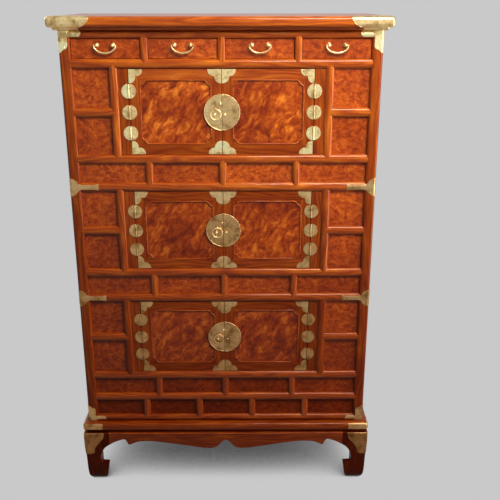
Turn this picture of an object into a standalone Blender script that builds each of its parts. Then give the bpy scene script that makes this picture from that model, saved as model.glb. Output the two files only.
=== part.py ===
"""A three-tier Korean chest: an elm frame with burl panels, on a low footed stand.

Four small drawers run along the top. Below them are three cupboards, each closed by a pair
of inset doors on round brass hinges, with a row of burl panels under each pair. All sizes
are in metres. The floor is z = 0 and the front of the chest faces -Y.
"""
import math

import bmesh
import bpy
from mathutils import Matrix, Vector

# Heights, from the floor up
STAND_HEIGHT = 0.194
STAND_LEDGE = 0.009
SILL_HEIGHT = 0.029
BASE_RAIL = 0.025
LOW_ROW = 0.056
RAIL = 0.029
DOOR_OPENING = 0.262
PANEL_ROW = 0.060
DRAWER_OPENING = 0.058
TOP_RAIL = 0.024
TOP_BEAD = 0.009
TOP_THICKNESS = 0.031

# Widths, from the middle out
DOOR_SPAN = 0.283
JAMB = 0.0315
COLUMN = 0.0275
SIDE_BAY = 0.108
POST = 0.035
DIVIDER = 0.025

# Depths
BODY_DEPTH = 0.430
FRAME_DEPTH = 0.036
TOP_OVERHANG_SIDE = 0.027
TOP_OVERHANG_FRONT = 0.028
TOP_OVERHANG_BACK = 0.012
BEAD_OVERHANG = 0.013
SILL_OVERHANG = 0.018
STAND_OVERHANG = 0.0175
BACK_OVERHANG = 0.008
STAND_FRAME_INSET = 0.012

# Mouldings and boards
MOULDING_DEPTH = 0.012
MOULDING_RISE = 0.010
DIVIDER_SETBACK = 0.0006
DIVIDER_REACH = 0.0012
RAIL_CORE = 0.016
FACE_SETBACK = 0.008
PANEL_BOARD = 0.008
JAMB_TUCK = 0.0035
COLUMN_SEAT = 0.0004
POST_ROUND = 0.009
TOP_ROUND = 0.011
BEAD_ROUND = 0.008
SILL_ROUND = 0.010
SIDE_BOARD = 0.012
SIDE_SETBACK = 0.010
SIDE_RAIL_DEPTH = 0.005
BACK_BOARD = 0.010
FLOOR_BOARD = 0.015
SILL_RAIL = 0.070

# Doors
DOOR_THICKNESS = 0.020
DOOR_GAP = 0.001
DOOR_STILE = 0.0325
DOOR_RAIL = 0.033
PANEL_SETBACK = 0.003
PANEL_THICKNESS = 0.009
PANEL_LEDGE = 0.008
PANEL_NOTCH = 0.024
STOP_LIP = 0.009

# Door hinges
HINGE_RADIUS = 0.0225
HINGE_PITCH = 0.064
LEAF_THICKNESS = 0.0016
LEAF_SINK = 0.002
PIN_RADIUS = 0.0012
PIN_PLAY = 0.0006
BARREL_WALL = 0.0007
BARREL_CLEARANCE = 0.0005
BARREL_LENGTH = 0.042
KNUCKLE_GAP = 0.0005
HINGES_PER_DOOR = 3

# Lock plates and rings
LOCK_RADIUS = 0.056
LOCK_THICKNESS = 0.0015
LOCK_SPLIT = 0.0006
RING_RADIUS = 0.016
RING_WIRE = 0.002
RING_ASIDE = 0.0195
RING_BELOW = 0.006
EYE_WIRE = 0.0014
EYE_PLAY = 0.0008
STUD_RADIUS = 0.004
STUD_HEIGHT = 0.0085
LEFT_STUD_ASIDE = 0.0225
RIGHT_STUD_ASIDE = 0.009

# Drawers
DRAWER_COUNT = 4
DRAWER_SIDE_GAP = 0.0008
DRAWER_BASE_GAP = 0.0006
DRAWER_SETBACK = 0.009
DRAWER_BACK_SPACE = 0.061
DRAWER_FRONT = 0.016
DRAWER_WALL = 0.008
DRAWER_BASE = 0.006
KNOB_SPACING = 0.048
KNOB_RADIUS = 0.0060
KNOB_ABOVE_MIDDLE = 0.0105
KNOB_STANDOFF = 0.009
KNOB_NECK = 0.0034
KNOB_SINK = 0.004
BAIL_PIN = 0.0021
BAIL_PLAY = 0.0007
BAIL_THICK = 0.0031
BAIL_CLEARANCE = 0.0005
BAIL_DROP = 0.0225

# Stand
LEG_WIDTH = 0.0875
LEG_CORE = 0.60
APRON_THICKNESS = 0.022
APRON_DROP = 0.0635
APRON_END = 0.110
SIDE_APRON_FLAT = 0.060
APRON_KEY = 0.010
APRON_KEY_RISE = 0.003
STAND_RING = 0.080

# Clearance between touching pieces, and how far a cutter overruns what it cuts
FIT = 0.0003
OVERRUN = 0.004

# Counts of flat facets on round pieces
MOULDING_STEPS = 6
ROUND_STEPS = 3
DISC_STEPS = 10
BARREL_SIDES = 8
RING_STEPS = 20
WIRE_SIDES = 6
KNOB_SIDES = 10
KNOB_RINGS = 6
BAIL_STEPS = 14
NOTCH_STEPS = 3

# The leg's outline, as shares of its width from the outer edge and of its height
LEG_SHARES = [
    (0.000, 1.000), (0.000, 0.820), (0.009, 0.661), (0.034, 0.481), (0.048, 0.246),
    (0.074, 0.109), (0.126, 0.038), (0.206, 0.000), (0.686, 0.000), (0.789, 0.027),
    (0.846, 0.098), (0.905, 0.265), (0.935, 0.340), (0.916, 0.358), (0.846, 0.362),
    (0.700, 0.366), (0.640, 0.385), (0.614, 0.425), (0.612, 0.475), (0.632, 0.530),
    (0.678, 0.584), (0.752, 0.650), (0.869, 0.708), (1.000, 0.749), (1.000, 1.000),
]
# The apron's lower edge by the leg: shares of its shaped end from the leg, and of APRON_DROP
APRON_END_SHARES = [
    (0.000, 0.766), (0.200, 0.573), (0.400, 0.444), (0.509, 0.419), (0.573, 0.565),
    (0.609, 0.710), (0.664, 0.758), (0.718, 0.726), (0.836, 0.629), (1.000, 0.548),
]
# The front apron's lower edge from there to the middle: shares of that length, and of APRON_DROP
APRON_MIDDLE_SHARES = [
    (0.118, 0.532), (0.217, 0.580), (0.469, 0.758), (0.686, 0.935), (0.781, 0.984),
    (0.827, 0.992), (0.876, 0.935), (0.906, 0.839), (0.939, 0.677), (0.965, 0.548),
    (1.000, 0.452),
]

# Levels worked out from the heights
SILL_BASE = STAND_HEIGHT + STAND_LEDGE
CARCASS_BASE = SILL_BASE + SILL_HEIGHT
BASE_ROW_Z = CARCASS_BASE + BASE_RAIL
MID_RAIL_Z = BASE_ROW_Z + LOW_ROW
LOW_ROW_Z = MID_RAIL_Z + RAIL
DOOR_Z = [LOW_ROW_Z + LOW_ROW + RAIL]
TIER_PITCH = DOOR_OPENING + RAIL + PANEL_ROW + RAIL
DOOR_Z.append(DOOR_Z[0] + TIER_PITCH)
DOOR_Z.append(DOOR_Z[1] + TIER_PITCH)
DOOR_Z.reverse()
DRAWER_Z = DOOR_Z[0] + DOOR_OPENING + RAIL
CARCASS_TOP = DRAWER_Z + DRAWER_OPENING + TOP_RAIL
TOP_Z = CARCASS_TOP + TOP_BEAD

# Places worked out from the widths and depths
COLUMN_IN = DOOR_SPAN + JAMB
COLUMN_OUT = COLUMN_IN + COLUMN
POST_IN = COLUMN_OUT + SIDE_BAY
POST_OUT = POST_IN + POST
TOP_DEPTH = BODY_DEPTH + TOP_OVERHANG_FRONT + TOP_OVERHANG_BACK
FRONT = TOP_OVERHANG_FRONT - TOP_DEPTH / 2
BACK = FRONT + BODY_DEPTH
FACE = FRONT + FACE_SETBACK
FRAME_BACK = FRONT + FRAME_DEPTH
PANEL_FACE = FRONT + MOULDING_DEPTH + FIT
RAIL_TUCK = (RAIL - RAIL_CORE) / 2
JAMB_OUT = COLUMN_IN + JAMB_TUCK
SIDE_FACE = POST_OUT - SIDE_SETBACK
SIDE_IN = SIDE_FACE - SIDE_BOARD
BACK_FACE = BACK - BACK_BOARD
STAND_X = POST_OUT + STAND_OVERHANG
STAND_FRONT = FRONT - STAND_OVERHANG
STAND_BACK = BACK + BACK_OVERHANG
PIN_BORE = PIN_RADIUS + PIN_PLAY
BARREL_RADIUS = PIN_BORE + BARREL_WALL
LEAF_EDGE = BARREL_RADIUS + BARREL_CLEARANCE
HINGE_Y = FACE - LEAF_EDGE
LOCK_BACK = FACE - FIT
LOCK_FACE = LOCK_BACK - LOCK_THICKNESS
EYE_RADIUS = RING_WIRE + EYE_WIRE + EYE_PLAY
KNOB_BORE = BAIL_PIN + BAIL_PLAY
BAY_WIDTH = (2 * POST_IN - (DRAWER_COUNT - 1) * DIVIDER) / DRAWER_COUNT
DRAWER_PITCH = BAY_WIDTH + DIVIDER
DRAWER_X = [(i - (DRAWER_COUNT - 1) / 2) * DRAWER_PITCH for i in range(DRAWER_COUNT)]
DIVIDER_X = [(i - DRAWER_COUNT / 2) * DRAWER_PITCH for i in range(1, DRAWER_COUNT)]
BASE_PANELS = DRAWER_COUNT + 1
BASE_BAY = (2 * POST_IN - (BASE_PANELS - 1) * DIVIDER) / BASE_PANELS
BASE_PITCH = BASE_BAY + DIVIDER
BASE_DIVIDER_X = [(i - BASE_PANELS / 2) * BASE_PITCH for i in range(1, BASE_PANELS)]
SIDES = {"left": -1, "right": 1}


def clear_scene():
    """Remove every object and leave the file open."""
    for old in list(bpy.data.objects):
        bpy.data.objects.remove(old, do_unlink=True)


def new_collection(name):
    """A collection linked to the scene."""
    group = bpy.data.collections.new(name)
    bpy.context.scene.collection.children.link(group)
    return group


def new_material(name, colour, roughness, metallic=0.0):
    """A Principled material with one colour."""
    material = bpy.data.materials.new(name)
    material.use_nodes = True
    shader = material.node_tree.nodes["Principled BSDF"]
    shader.inputs["Base Color"].default_value = (*colour, 1.0)
    shader.inputs["Roughness"].default_value = roughness
    shader.inputs["Metallic"].default_value = metallic
    material.diffuse_color = (*colour, 1.0)
    return material


clear_scene()
CHEST = new_collection("korean_chest")
WORKSHOP = new_collection("workshop")
ELM = new_material("lacquered_elm", (0.230, 0.045, 0.012), 0.25)
BURL = new_material("burl_veneer", (0.400, 0.105, 0.022), 0.28)
INNER_WOOD = new_material("inner_wood", (0.420, 0.230, 0.100), 0.55)
BRASS = new_material("aged_brass", (0.560, 0.420, 0.180), 0.35, 1.0)


def rough_piece(mesh):
    """An unfinished piece: a mesh object that a later step joins or cuts."""
    piece = bpy.data.objects.new(mesh.name, mesh)
    WORKSHOP.objects.link(piece)
    return piece


def evaluated_mesh(piece):
    """The mesh of an object with its modifiers or curve settings applied, in world space."""
    bpy.context.view_layer.update()
    graph = bpy.context.evaluated_depsgraph_get()
    mesh = bpy.data.meshes.new_from_object(piece.evaluated_get(graph))
    mesh.transform(piece.matrix_world)
    return mesh


def weld(mesh):
    """Join the loose caps of a converted curve to its walls."""
    work = bmesh.new()
    work.from_mesh(mesh)
    bmesh.ops.remove_doubles(work, verts=work.verts, dist=FIT / 100)
    bmesh.ops.recalc_face_normals(work, faces=work.faces)
    work.to_mesh(mesh)
    work.free()


def merge_flat_faces(mesh):
    """Clear slivers that a Boolean leaves, and join the faces that lie in one plane."""
    work = bmesh.new()
    work.from_mesh(mesh)
    bmesh.ops.remove_doubles(work, verts=work.verts, dist=FIT / 100)
    bmesh.ops.dissolve_degenerate(work, dist=FIT / 100, edges=work.edges)
    bmesh.ops.dissolve_limit(
        work, angle_limit=math.radians(0.2), verts=work.verts, edges=work.edges,
    )
    work.to_mesh(mesh)
    work.free()


def box(x0, x1, y0, y1, z0, z1):
    """A box between two corners, given in any order."""
    work = bmesh.new()
    bmesh.ops.create_cube(work, size=1.0)
    middle = Vector(((x0 + x1) / 2, (y0 + y1) / 2, (z0 + z1) / 2))
    bmesh.ops.scale(work, vec=(abs(x1 - x0), abs(y1 - y0), abs(z1 - z0)), verts=work.verts)
    bmesh.ops.translate(work, vec=middle, verts=work.verts)
    mesh = bpy.data.meshes.new("box")
    work.to_mesh(mesh)
    work.free()
    return rough_piece(mesh)


def rounded_box(x0, x1, y0, y1, z0, z1, radius):
    """A box with every edge rounded."""
    piece = box(x0, x1, y0, y1, z0, z1)
    rounding = piece.modifiers.new("round_edges", "BEVEL")
    rounding.width = radius
    rounding.segments = ROUND_STEPS
    mesh = evaluated_mesh(piece)
    bpy.data.objects.remove(piece, do_unlink=True)
    return rough_piece(mesh)


TURNS = {
    "Z": Matrix.Identity(4),
    "Y": Matrix(((1, 0, 0, 0), (0, 0, -1, 0), (0, 1, 0, 0), (0, 0, 0, 1))),
    "X": Matrix(((0, 0, 1, 0), (1, 0, 0, 0), (0, 1, 0, 0), (0, 0, 0, 1))),
}


def prism(points, along, start, end):
    """A flat outline made thick along an axis.

    The outline's points are (x, y) for Z, (x, z) for Y and (y, z) for X.
    """
    curve = bpy.data.curves.new("outline", "CURVE")
    curve.dimensions = "2D"
    curve.fill_mode = "BOTH"
    curve.extrude = abs(end - start) / 2
    spline = curve.splines.new("POLY")
    spline.points.add(len(points) - 1)
    for point, (across, up) in zip(spline.points, points):
        point.co = (across, up, 0.0, 1.0)
    spline.use_cyclic_u = True
    piece = bpy.data.objects.new("outline", curve)
    WORKSHOP.objects.link(piece)
    shift = Vector((0.0, 0.0, 0.0))
    shift["XYZ".index(along)] = (start + end) / 2
    piece.matrix_world = Matrix.Translation(shift) @ TURNS[along]
    mesh = evaluated_mesh(piece)
    bpy.data.objects.remove(piece, do_unlink=True)
    weld(mesh)
    return rough_piece(mesh)


def half_round(low, high, crest, back):
    """The section of a moulding: (across, depth) points with a half-round front."""
    middle = (low + high) / 2
    half = (high - low) / 2
    points = [(low, back), (high, back)]
    for step in range(MOULDING_STEPS + 1):
        angle = math.pi * step / MOULDING_STEPS
        points.append((
            middle + half * math.cos(angle),
            crest + MOULDING_RISE * (1 - math.sin(angle)),
        ))
    return points


def moulding_across(x0, x1, z0, z1, back=FRONT + MOULDING_DEPTH):
    """A half-round moulding that runs along X on the front of the chest."""
    section = [(depth, up) for up, depth in half_round(z0, z1, FRONT, back)]
    return prism(section, "X", x0, x1)


def moulding_up(x0, x1, z0, z1, back=FRONT + MOULDING_DEPTH):
    """A half-round moulding that runs along Z, a little within the rails front and back."""
    section = half_round(x0, x1, FRONT + DIVIDER_SETBACK, back - DIVIDER_SETBACK)
    return prism(section, "Z", z0, z1)


def rod(start, end, radius, sides):
    """A cylinder between two points."""
    start = Vector(start)
    end = Vector(end)
    work = bmesh.new()
    bmesh.ops.create_cone(
        work, cap_ends=True, segments=sides, radius1=radius, radius2=radius,
        depth=(end - start).length,
    )
    turn = Vector((0, 0, 1)).rotation_difference(end - start).to_matrix().to_4x4()
    bmesh.ops.transform(work, matrix=Matrix.Translation((start + end) / 2) @ turn, verts=work.verts)
    mesh = bpy.data.meshes.new("rod")
    work.to_mesh(mesh)
    work.free()
    return rough_piece(mesh)


def dome(centre, radius, sides, rings):
    """A ball with its poles along Y."""
    work = bmesh.new()
    bmesh.ops.create_uvsphere(work, u_segments=sides, v_segments=rings, radius=radius)
    bmesh.ops.transform(work, matrix=Matrix.Translation(centre) @ TURNS["Y"], verts=work.verts)
    mesh = bpy.data.meshes.new("ball")
    work.to_mesh(mesh)
    work.free()
    return rough_piece(mesh)


def torus(centre, along, radius, wire, steps, sides):
    """A ring whose hole runs along an axis."""
    bpy.ops.mesh.primitive_torus_add(
        major_segments=steps, minor_segments=sides, major_radius=radius, minor_radius=wire,
    )
    piece = bpy.context.active_object
    mesh = piece.data.copy()
    bpy.data.objects.remove(piece, do_unlink=True)
    mesh.transform(Matrix.Translation(centre) @ TURNS[along])
    return rough_piece(mesh)


def combine(base, pieces, operation):
    """Join, cut or intersect one rough piece with others, and use them up."""
    for piece in pieces:
        piece.hide_render = True
        piece.display_type = "WIRE"
        step = base.modifiers.new(operation.lower(), "BOOLEAN")
        step.operation = operation
        step.solver = "EXACT"
        step.object = piece
    mesh = evaluated_mesh(base)
    for used in [base, *pieces]:
        bpy.data.objects.remove(used, do_unlink=True)
    merge_flat_faces(mesh)
    return rough_piece(mesh)


def join(pieces):
    """One solid from several that overlap."""
    return combine(pieces[0], pieces[1:], "UNION")


def cut(piece, cutters):
    """A solid with the cutters taken out of it."""
    return combine(piece, cutters, "DIFFERENCE")


def finish(piece, name, material, pivot=(0.0, 0.0, 0.0)):
    """Name a finished solid, give it its material and put its origin on its pivot."""
    piece.name = name
    piece.data.name = name
    piece.data.transform(Matrix.Translation(-Vector(pivot)))
    piece.location = pivot
    piece.data.materials.clear()
    piece.data.materials.append(material)
    piece.data.shade_smooth()
    piece.data.set_sharp_from_angle(angle=math.radians(35))
    WORKSHOP.objects.unlink(piece)
    CHEST.objects.link(piece)
    return piece


def leg_outline(corner, inward):
    """The silhouette of a leg that starts at its outer corner and runs inward."""
    return [
        (corner + inward * across * LEG_WIDTH, up * STAND_HEIGHT)
        for across, up in LEG_SHARES
    ]


def make_legs():
    """Four legs: a square core with a board on each outer face, carved to the same silhouette."""
    core = LEG_CORE * LEG_WIDTH
    past = LEG_WIDTH + OVERRUN
    for side, sign in SIDES.items():
        for place, edge, inward in (("front", STAND_FRONT, 1), ("rear", STAND_BACK, -1)):
            corner = sign * STAND_X
            reach_x = sorted((corner, corner - sign * LEG_WIDTH))
            reach_y = sorted((edge, edge + inward * LEG_WIDTH))
            seen_from_front = prism(leg_outline(corner, -sign), "Y", *reach_y)
            seen_from_side = prism(leg_outline(edge, inward), "X", *reach_x)
            leg = combine(seen_from_front, [seen_from_side], "INTERSECT")
            leg = cut(leg, [
                box(
                    *sorted((corner - sign * across, corner - sign * past)),
                    *sorted((edge + inward * deep, edge + inward * past)),
                    -OVERRUN, STAND_HEIGHT + OVERRUN,
                )
                for across, deep in ((APRON_THICKNESS, core), (core, APRON_THICKNESS))
            ])
            finish(leg, f"stand_leg_{place}_{side}", ELM)


def apron_edge(half_length, end, shaped_middle):
    """The lower edge of half an apron, from the leg to the middle, as (from middle, z)."""
    points = [
        (half_length - along * end, STAND_HEIGHT - drop * APRON_DROP)
        for along, drop in APRON_END_SHARES
    ]
    if shaped_middle:
        rest = half_length - end
        points += [
            (rest * (1 - along), STAND_HEIGHT - drop * APRON_DROP)
            for along, drop in APRON_MIDDLE_SHARES
        ]
    return points


def apron(along, half_length, end, middle, outer, inner, shaped_middle):
    """An apron between two legs, made thick from its outer to its inner face."""
    edge = apron_edge(half_length, end, shaped_middle)
    mirrored = [(-across, up) for across, up in reversed(edge) if across > 0]
    points = [(half_length, STAND_HEIGHT), *edge, *mirrored, (-half_length, STAND_HEIGHT)]
    return prism([(middle + across, up) for across, up in points], along, outer, inner)


def make_stand_frame():
    """Four aprons hung from a flat ring that lies on the legs and carries the chest."""
    half_x = STAND_X - LEG_WIDTH - FIT
    middle_y = (STAND_FRONT + STAND_BACK) / 2
    half_y = (STAND_BACK - STAND_FRONT) / 2 - LEG_WIDTH - FIT
    key_low = STAND_HEIGHT - APRON_KEY
    key_high = STAND_HEIGHT + APRON_KEY_RISE
    front_in = STAND_FRONT + APRON_THICKNESS
    back_in = STAND_BACK - APRON_THICKNESS
    side_in = STAND_X - APRON_THICKNESS
    inset = STAND_FRAME_INSET
    key_depth = (inset + FIT, APRON_THICKNESS - FIT)
    ring = box(
        inset - STAND_X, STAND_X - inset, STAND_FRONT + inset, STAND_BACK - inset,
        STAND_HEIGHT + FIT, SILL_BASE - FIT,
    )
    ring_hole = box(
        STAND_RING - STAND_X, STAND_X - STAND_RING, STAND_FRONT + STAND_RING,
        STAND_BACK - STAND_RING, STAND_HEIGHT - OVERRUN, SILL_BASE + OVERRUN,
    )
    pieces = [cut(ring, [ring_hole])]
    pieces.append(apron("Y", half_x, APRON_END, 0.0, STAND_FRONT, front_in, True))
    pieces.append(apron("Y", half_x, APRON_END, 0.0, back_in, STAND_BACK, False))
    side_end = half_y - SIDE_APRON_FLAT / 2
    key_x = half_x - FIT
    key_y = half_y - FIT
    for sign in SIDES.values():
        outer, inner = sorted((sign * STAND_X, sign * side_in))
        pieces.append(apron("X", half_y, side_end, middle_y, outer, inner, False))
        key_side = [sign * (STAND_X - depth) for depth in key_depth]
        pieces.append(box(*key_side, middle_y - key_y, middle_y + key_y, key_low, key_high))
    for edge, inward in ((STAND_FRONT, 1), (STAND_BACK, -1)):
        key_edge = [edge + inward * depth for depth in key_depth]
        pieces.append(box(-key_x, key_x, *key_edge, key_low, key_high))
    finish(join(pieces), "stand_frame", ELM)


def make_base_sill():
    """The moulded frame between the stand and the chest, open in the middle."""
    side = POST_OUT + SILL_OVERHANG
    front = FRONT - SILL_OVERHANG
    sill = rounded_box(-side, side, front, BACK + BACK_OVERHANG, SILL_BASE, CARCASS_BASE, SILL_ROUND)
    hole = box(
        SILL_RAIL - side, side - SILL_RAIL, front + SILL_RAIL,
        BACK + BACK_OVERHANG - SILL_RAIL, SILL_BASE - OVERRUN, CARCASS_BASE + OVERRUN,
    )
    finish(cut(sill, [hole]), "base_sill", ELM)


def make_top_board():
    """The top board with its rounded edge, and the smaller bead under it."""
    half = POST_OUT + TOP_OVERHANG_SIDE
    board = rounded_box(
        -half, half, FRONT - TOP_OVERHANG_FRONT, BACK + TOP_OVERHANG_BACK,
        TOP_Z, TOP_Z + TOP_THICKNESS, TOP_ROUND,
    )
    bead_half = POST_OUT + BEAD_OVERHANG
    bead = rounded_box(
        -bead_half, bead_half, FRONT - BEAD_OVERHANG, BACK,
        CARCASS_TOP + FIT, TOP_Z + TOP_THICKNESS / 2, BEAD_ROUND,
    )
    finish(join([board, bead]), "top_board", ELM)


def make_posts():
    """Four corner posts from the sill to the top, the front ones rounded at the front."""
    for side, sign in SIDES.items():
        x0, x1 = sorted((sign * POST_IN, sign * POST_OUT))
        low = CARCASS_BASE + FIT
        high = CARCASS_TOP
        front = rounded_box(
            x0, x1, FRONT, FRAME_BACK + POST_ROUND, low - POST_ROUND, high + POST_ROUND, POST_ROUND,
        )
        trim_top = box(
            x0 - OVERRUN, x1 + OVERRUN, FRONT - OVERRUN, FRAME_BACK + 2 * POST_ROUND,
            high, high + 2 * POST_ROUND,
        )
        trim_base = box(
            x0 - OVERRUN, x1 + OVERRUN, FRONT - OVERRUN, FRAME_BACK + 2 * POST_ROUND,
            low - 2 * POST_ROUND, low,
        )
        trim_back = box(
            x0 - OVERRUN, x1 + OVERRUN, FRAME_BACK, FRAME_BACK + 2 * POST_ROUND,
            low - 2 * POST_ROUND, high + 2 * POST_ROUND,
        )
        finish(cut(front, [trim_top, trim_base, trim_back]), f"post_front_{side}", ELM)
        rear = box(x0, x1, BACK - FRAME_DEPTH, BACK, low, high)
        finish(rear, f"post_rear_{side}", ELM)


def make_side_panels():
    """The boards that close the two sides, with a half-round rail at each tier."""
    y0 = FRAME_BACK + FIT
    y1 = BACK - FRAME_DEPTH - FIT
    rails = [(CARCASS_BASE, CARCASS_BASE + BASE_RAIL), (CARCASS_TOP - TOP_RAIL, CARCASS_TOP)]
    rails += [(DRAWER_Z - RAIL, DRAWER_Z)]
    rails += [(z + DOOR_OPENING, z + DOOR_OPENING + RAIL) for z in DOOR_Z[1:]]
    for side, sign in SIDES.items():
        low = CARCASS_BASE + FIT
        x0, x1 = sorted((sign * SIDE_IN, sign * SIDE_FACE))
        pieces = [box(x0, x1, y0, y1, low, CARCASS_TOP)]
        for z0, z1 in rails:
            face = [sign * SIDE_FACE, sign * (SIDE_FACE + SIDE_RAIL_DEPTH)]
            root = sign * (SIDE_FACE - SIDE_BOARD / 2)
            middle = (z0 + z1) / 2
            half = (z1 - z0) / 2 - 2 * FIT
            section = [(root, middle - half), (root, middle + half)]
            for step in range(MOULDING_STEPS + 1):
                angle = math.pi * step / MOULDING_STEPS
                section.append((
                    face[0] + (face[1] - face[0]) * math.sin(angle),
                    middle + half * math.cos(angle),
                ))
            pieces.append(prism(section, "Y", y0 + FIT, y1 - FIT))
        finish(join(pieces), f"side_panel_{side}", BURL)


def make_back_panel():
    """The plain board that closes the back, between the rear posts."""
    half = POST_IN - FIT
    back = box(-half, half, BACK_FACE, BACK, CARCASS_BASE + FIT, CARCASS_TOP)
    finish(back, "back_panel", INNER_WOOD)


def inner_board(z0, z1):
    """A board that fills the chest from side to side, notched round the rear posts."""
    half = SIDE_IN - FIT
    notch = POST_IN - FIT
    front = FRAME_BACK + FIT
    notch_y = BACK - FRAME_DEPTH - FIT
    back = BACK_FACE - FIT
    outline = [
        (-half, front), (half, front), (half, notch_y), (notch, notch_y),
        (notch, back), (-notch, back), (-notch, notch_y), (-half, notch_y),
    ]
    return prism(outline, "Z", z0, z1)


def make_floors():
    """The floors of the three cupboards, level with the rails under their panel rows."""
    for tier, door_z in enumerate(DOOR_Z, start=1):
        if tier < len(DOOR_Z):
            rail_middle = door_z - RAIL - PANEL_ROW - RAIL / 2
        else:
            rail_middle = CARCASS_BASE + BASE_RAIL / 2
        floor = inner_board(rail_middle - FLOOR_BOARD / 2, rail_middle + FLOOR_BOARD / 2)
        finish(floor, f"tier_floor_{tier}", INNER_WOOD)


def make_drawer_deck():
    """The board under the drawers, with the ribs that part and guide them."""
    pieces = [inner_board(DRAWER_Z - FLOOR_BOARD, DRAWER_Z)]
    y0 = FRAME_BACK + FIT
    y1 = BACK - FRAME_DEPTH - FIT
    root = DRAWER_Z - FLOOR_BOARD / 2
    top = CARCASS_TOP - FIT
    for middle in DIVIDER_X:
        pieces.append(box(middle - DIVIDER / 2, middle + DIVIDER / 2, y0 + FIT, y1, root, top))
    for sign in SIDES.values():
        x0, x1 = sorted((sign * POST_IN, sign * (SIDE_IN - 2 * FIT)))
        pieces.append(box(x0, x1, y0 + FIT, y1 - FIT, root, top))
    finish(join(pieces), "drawer_deck", INNER_WOOD)


def dividers(places, low, high, back=FRONT + MOULDING_DEPTH):
    """Half-round dividers between two rails, each running just past the rails' middles."""
    low -= DIVIDER_REACH
    high += DIVIDER_REACH
    return [moulding_up(x - DIVIDER / 2, x + DIVIDER / 2, low, high, back) for x in places]


def full_rail(z0, z1, core_low, core_high):
    """A rail across the whole front: the moulding, and the core that ties the posts."""
    half = POST_IN - FIT
    return [
        moulding_across(-half, half, z0, z1),
        box(-half, half, FRONT + MOULDING_RISE, FRAME_BACK, core_low, core_high),
    ]


def door_head(z0):
    """The deep lower edge of a rail that the doors under it close against."""
    front = FRONT + MOULDING_RISE + FIT
    return box(-JAMB_OUT, JAMB_OUT, front, FRAME_BACK - FIT, z0 + FIT, z0 + RAIL / 2)


def door_foot(z1):
    """The deep upper edge of a rail that the doors above it close against."""
    front = FRONT + MOULDING_RISE + FIT
    return box(-JAMB_OUT, JAMB_OUT, front, FRAME_BACK - FIT, z1 - RAIL + RAIL_TUCK, z1 - FIT)


def make_drawer_frame():
    """The face frame round the four drawers."""
    half = POST_IN - FIT
    top_low = CARCASS_TOP - TOP_RAIL
    rail_low = DRAWER_Z - RAIL
    pieces = [moulding_across(-half, half, top_low, CARCASS_TOP, FRAME_BACK)]
    pieces += full_rail(rail_low, DRAWER_Z, rail_low + RAIL_TUCK, DRAWER_Z - FIT)
    pieces.append(door_head(rail_low))
    low = DRAWER_Z - RAIL / 2
    high = top_low + TOP_RAIL / 2
    pieces += dividers(DIVIDER_X, low, high, FRAME_BACK - FIT)
    finish(join(pieces), "drawer_frame", ELM)


def make_row_frames():
    """The two face frames that hold the panel rows between the tiers."""
    half = POST_IN - FIT
    for tier, door_z in enumerate(DOOR_Z[:-1], start=1):
        row_top = door_z - RAIL
        row_low = row_top - PANEL_ROW
        rail_low = row_low - RAIL
        pieces = full_rail(rail_low, row_low, rail_low + RAIL_TUCK, row_low - RAIL_TUCK)
        pieces += [moulding_across(-half, half, row_top, door_z)]
        pieces += [door_foot(door_z), door_head(rail_low)]
        pieces += dividers(DIVIDER_X, row_low - RAIL / 2, row_top + RAIL / 2)
        finish(join(pieces), f"row_frame_{tier}", ELM)


def make_base_row_frame():
    """The face frame of the two panel rows at the foot of the chest."""
    half = POST_IN - FIT
    foot_top = CARCASS_BASE + BASE_RAIL
    core = (BASE_RAIL - RAIL_CORE) / 2
    low = CARCASS_BASE + FIT
    pieces = [moulding_across(-half, half, low, foot_top)]
    pieces.append(box(
        -half, half, FRONT + MOULDING_RISE, FRAME_BACK, low + core, foot_top - core,
    ))
    pieces.append(moulding_across(-half, half, MID_RAIL_Z, LOW_ROW_Z))
    pieces.append(moulding_across(-half, half, DOOR_Z[-1] - RAIL, DOOR_Z[-1]))
    pieces.append(door_foot(DOOR_Z[-1]))
    pieces += dividers(DIVIDER_X, LOW_ROW_Z - RAIL / 2, DOOR_Z[-1] - RAIL / 2)
    pieces += dividers(BASE_DIVIDER_X, foot_top - BASE_RAIL / 2, MID_RAIL_Z + RAIL / 2)
    finish(join(pieces), "base_row_frame", ELM)


def make_burl_boards():
    """The burl boards behind the face frames, each cut out round a pair of doors."""
    half = POST_IN - FIT
    doorway = JAMB_OUT + FIT
    for tier, door_z in enumerate(DOOR_Z, start=1):
        top = door_z + DOOR_OPENING + RAIL_TUCK - FIT
        sill = door_z - RAIL + RAIL_TUCK - FIT
        if tier < len(DOOR_Z):
            low = door_z - 2 * RAIL - PANEL_ROW + RAIL - RAIL_TUCK + FIT
        else:
            low = CARCASS_BASE + BASE_RAIL - (BASE_RAIL - RAIL_CORE) / 2 + FIT
        outline = [
            (-half, low), (half, low), (half, top), (doorway, top),
            (doorway, sill), (-doorway, sill), (-doorway, top), (-half, top),
        ]
        board = prism(outline, "Y", PANEL_FACE, PANEL_FACE + PANEL_BOARD)
        finish(board, f"burl_board_{tier}", BURL)


def half_disc(centre_x, centre_z, radius, away, edge, front, back):
    """A half disc on the face: it lies on the side `away` of the line at `edge` from its centre."""
    start = math.asin(edge / radius)
    points = []
    for step in range(DISC_STEPS + 1):
        angle = start + (math.pi - 2 * start) * step / DISC_STEPS
        points.append((centre_x + away * radius * math.sin(angle), centre_z + radius * math.cos(angle)))
    return prism(points, "Y", front, back)


def hinge_heights(door_z):
    """The middles of the hinges of one door."""
    middle = door_z + DOOR_OPENING / 2
    return [middle + (i - (HINGES_PER_DOOR - 1) / 2) * HINGE_PITCH for i in range(HINGES_PER_DOOR)]


def knuckle_spans(z, on_door):
    """The stretches of one hinge's barrel that belong to the door or to the frame."""
    third = BARREL_LENGTH / 3
    if on_door:
        return [(z - third / 2 + KNUCKLE_GAP, z + third / 2 - KNUCKLE_GAP)]
    return [(z - 1.5 * third, z - third / 2), (z + third / 2, z + 1.5 * third)]


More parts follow.
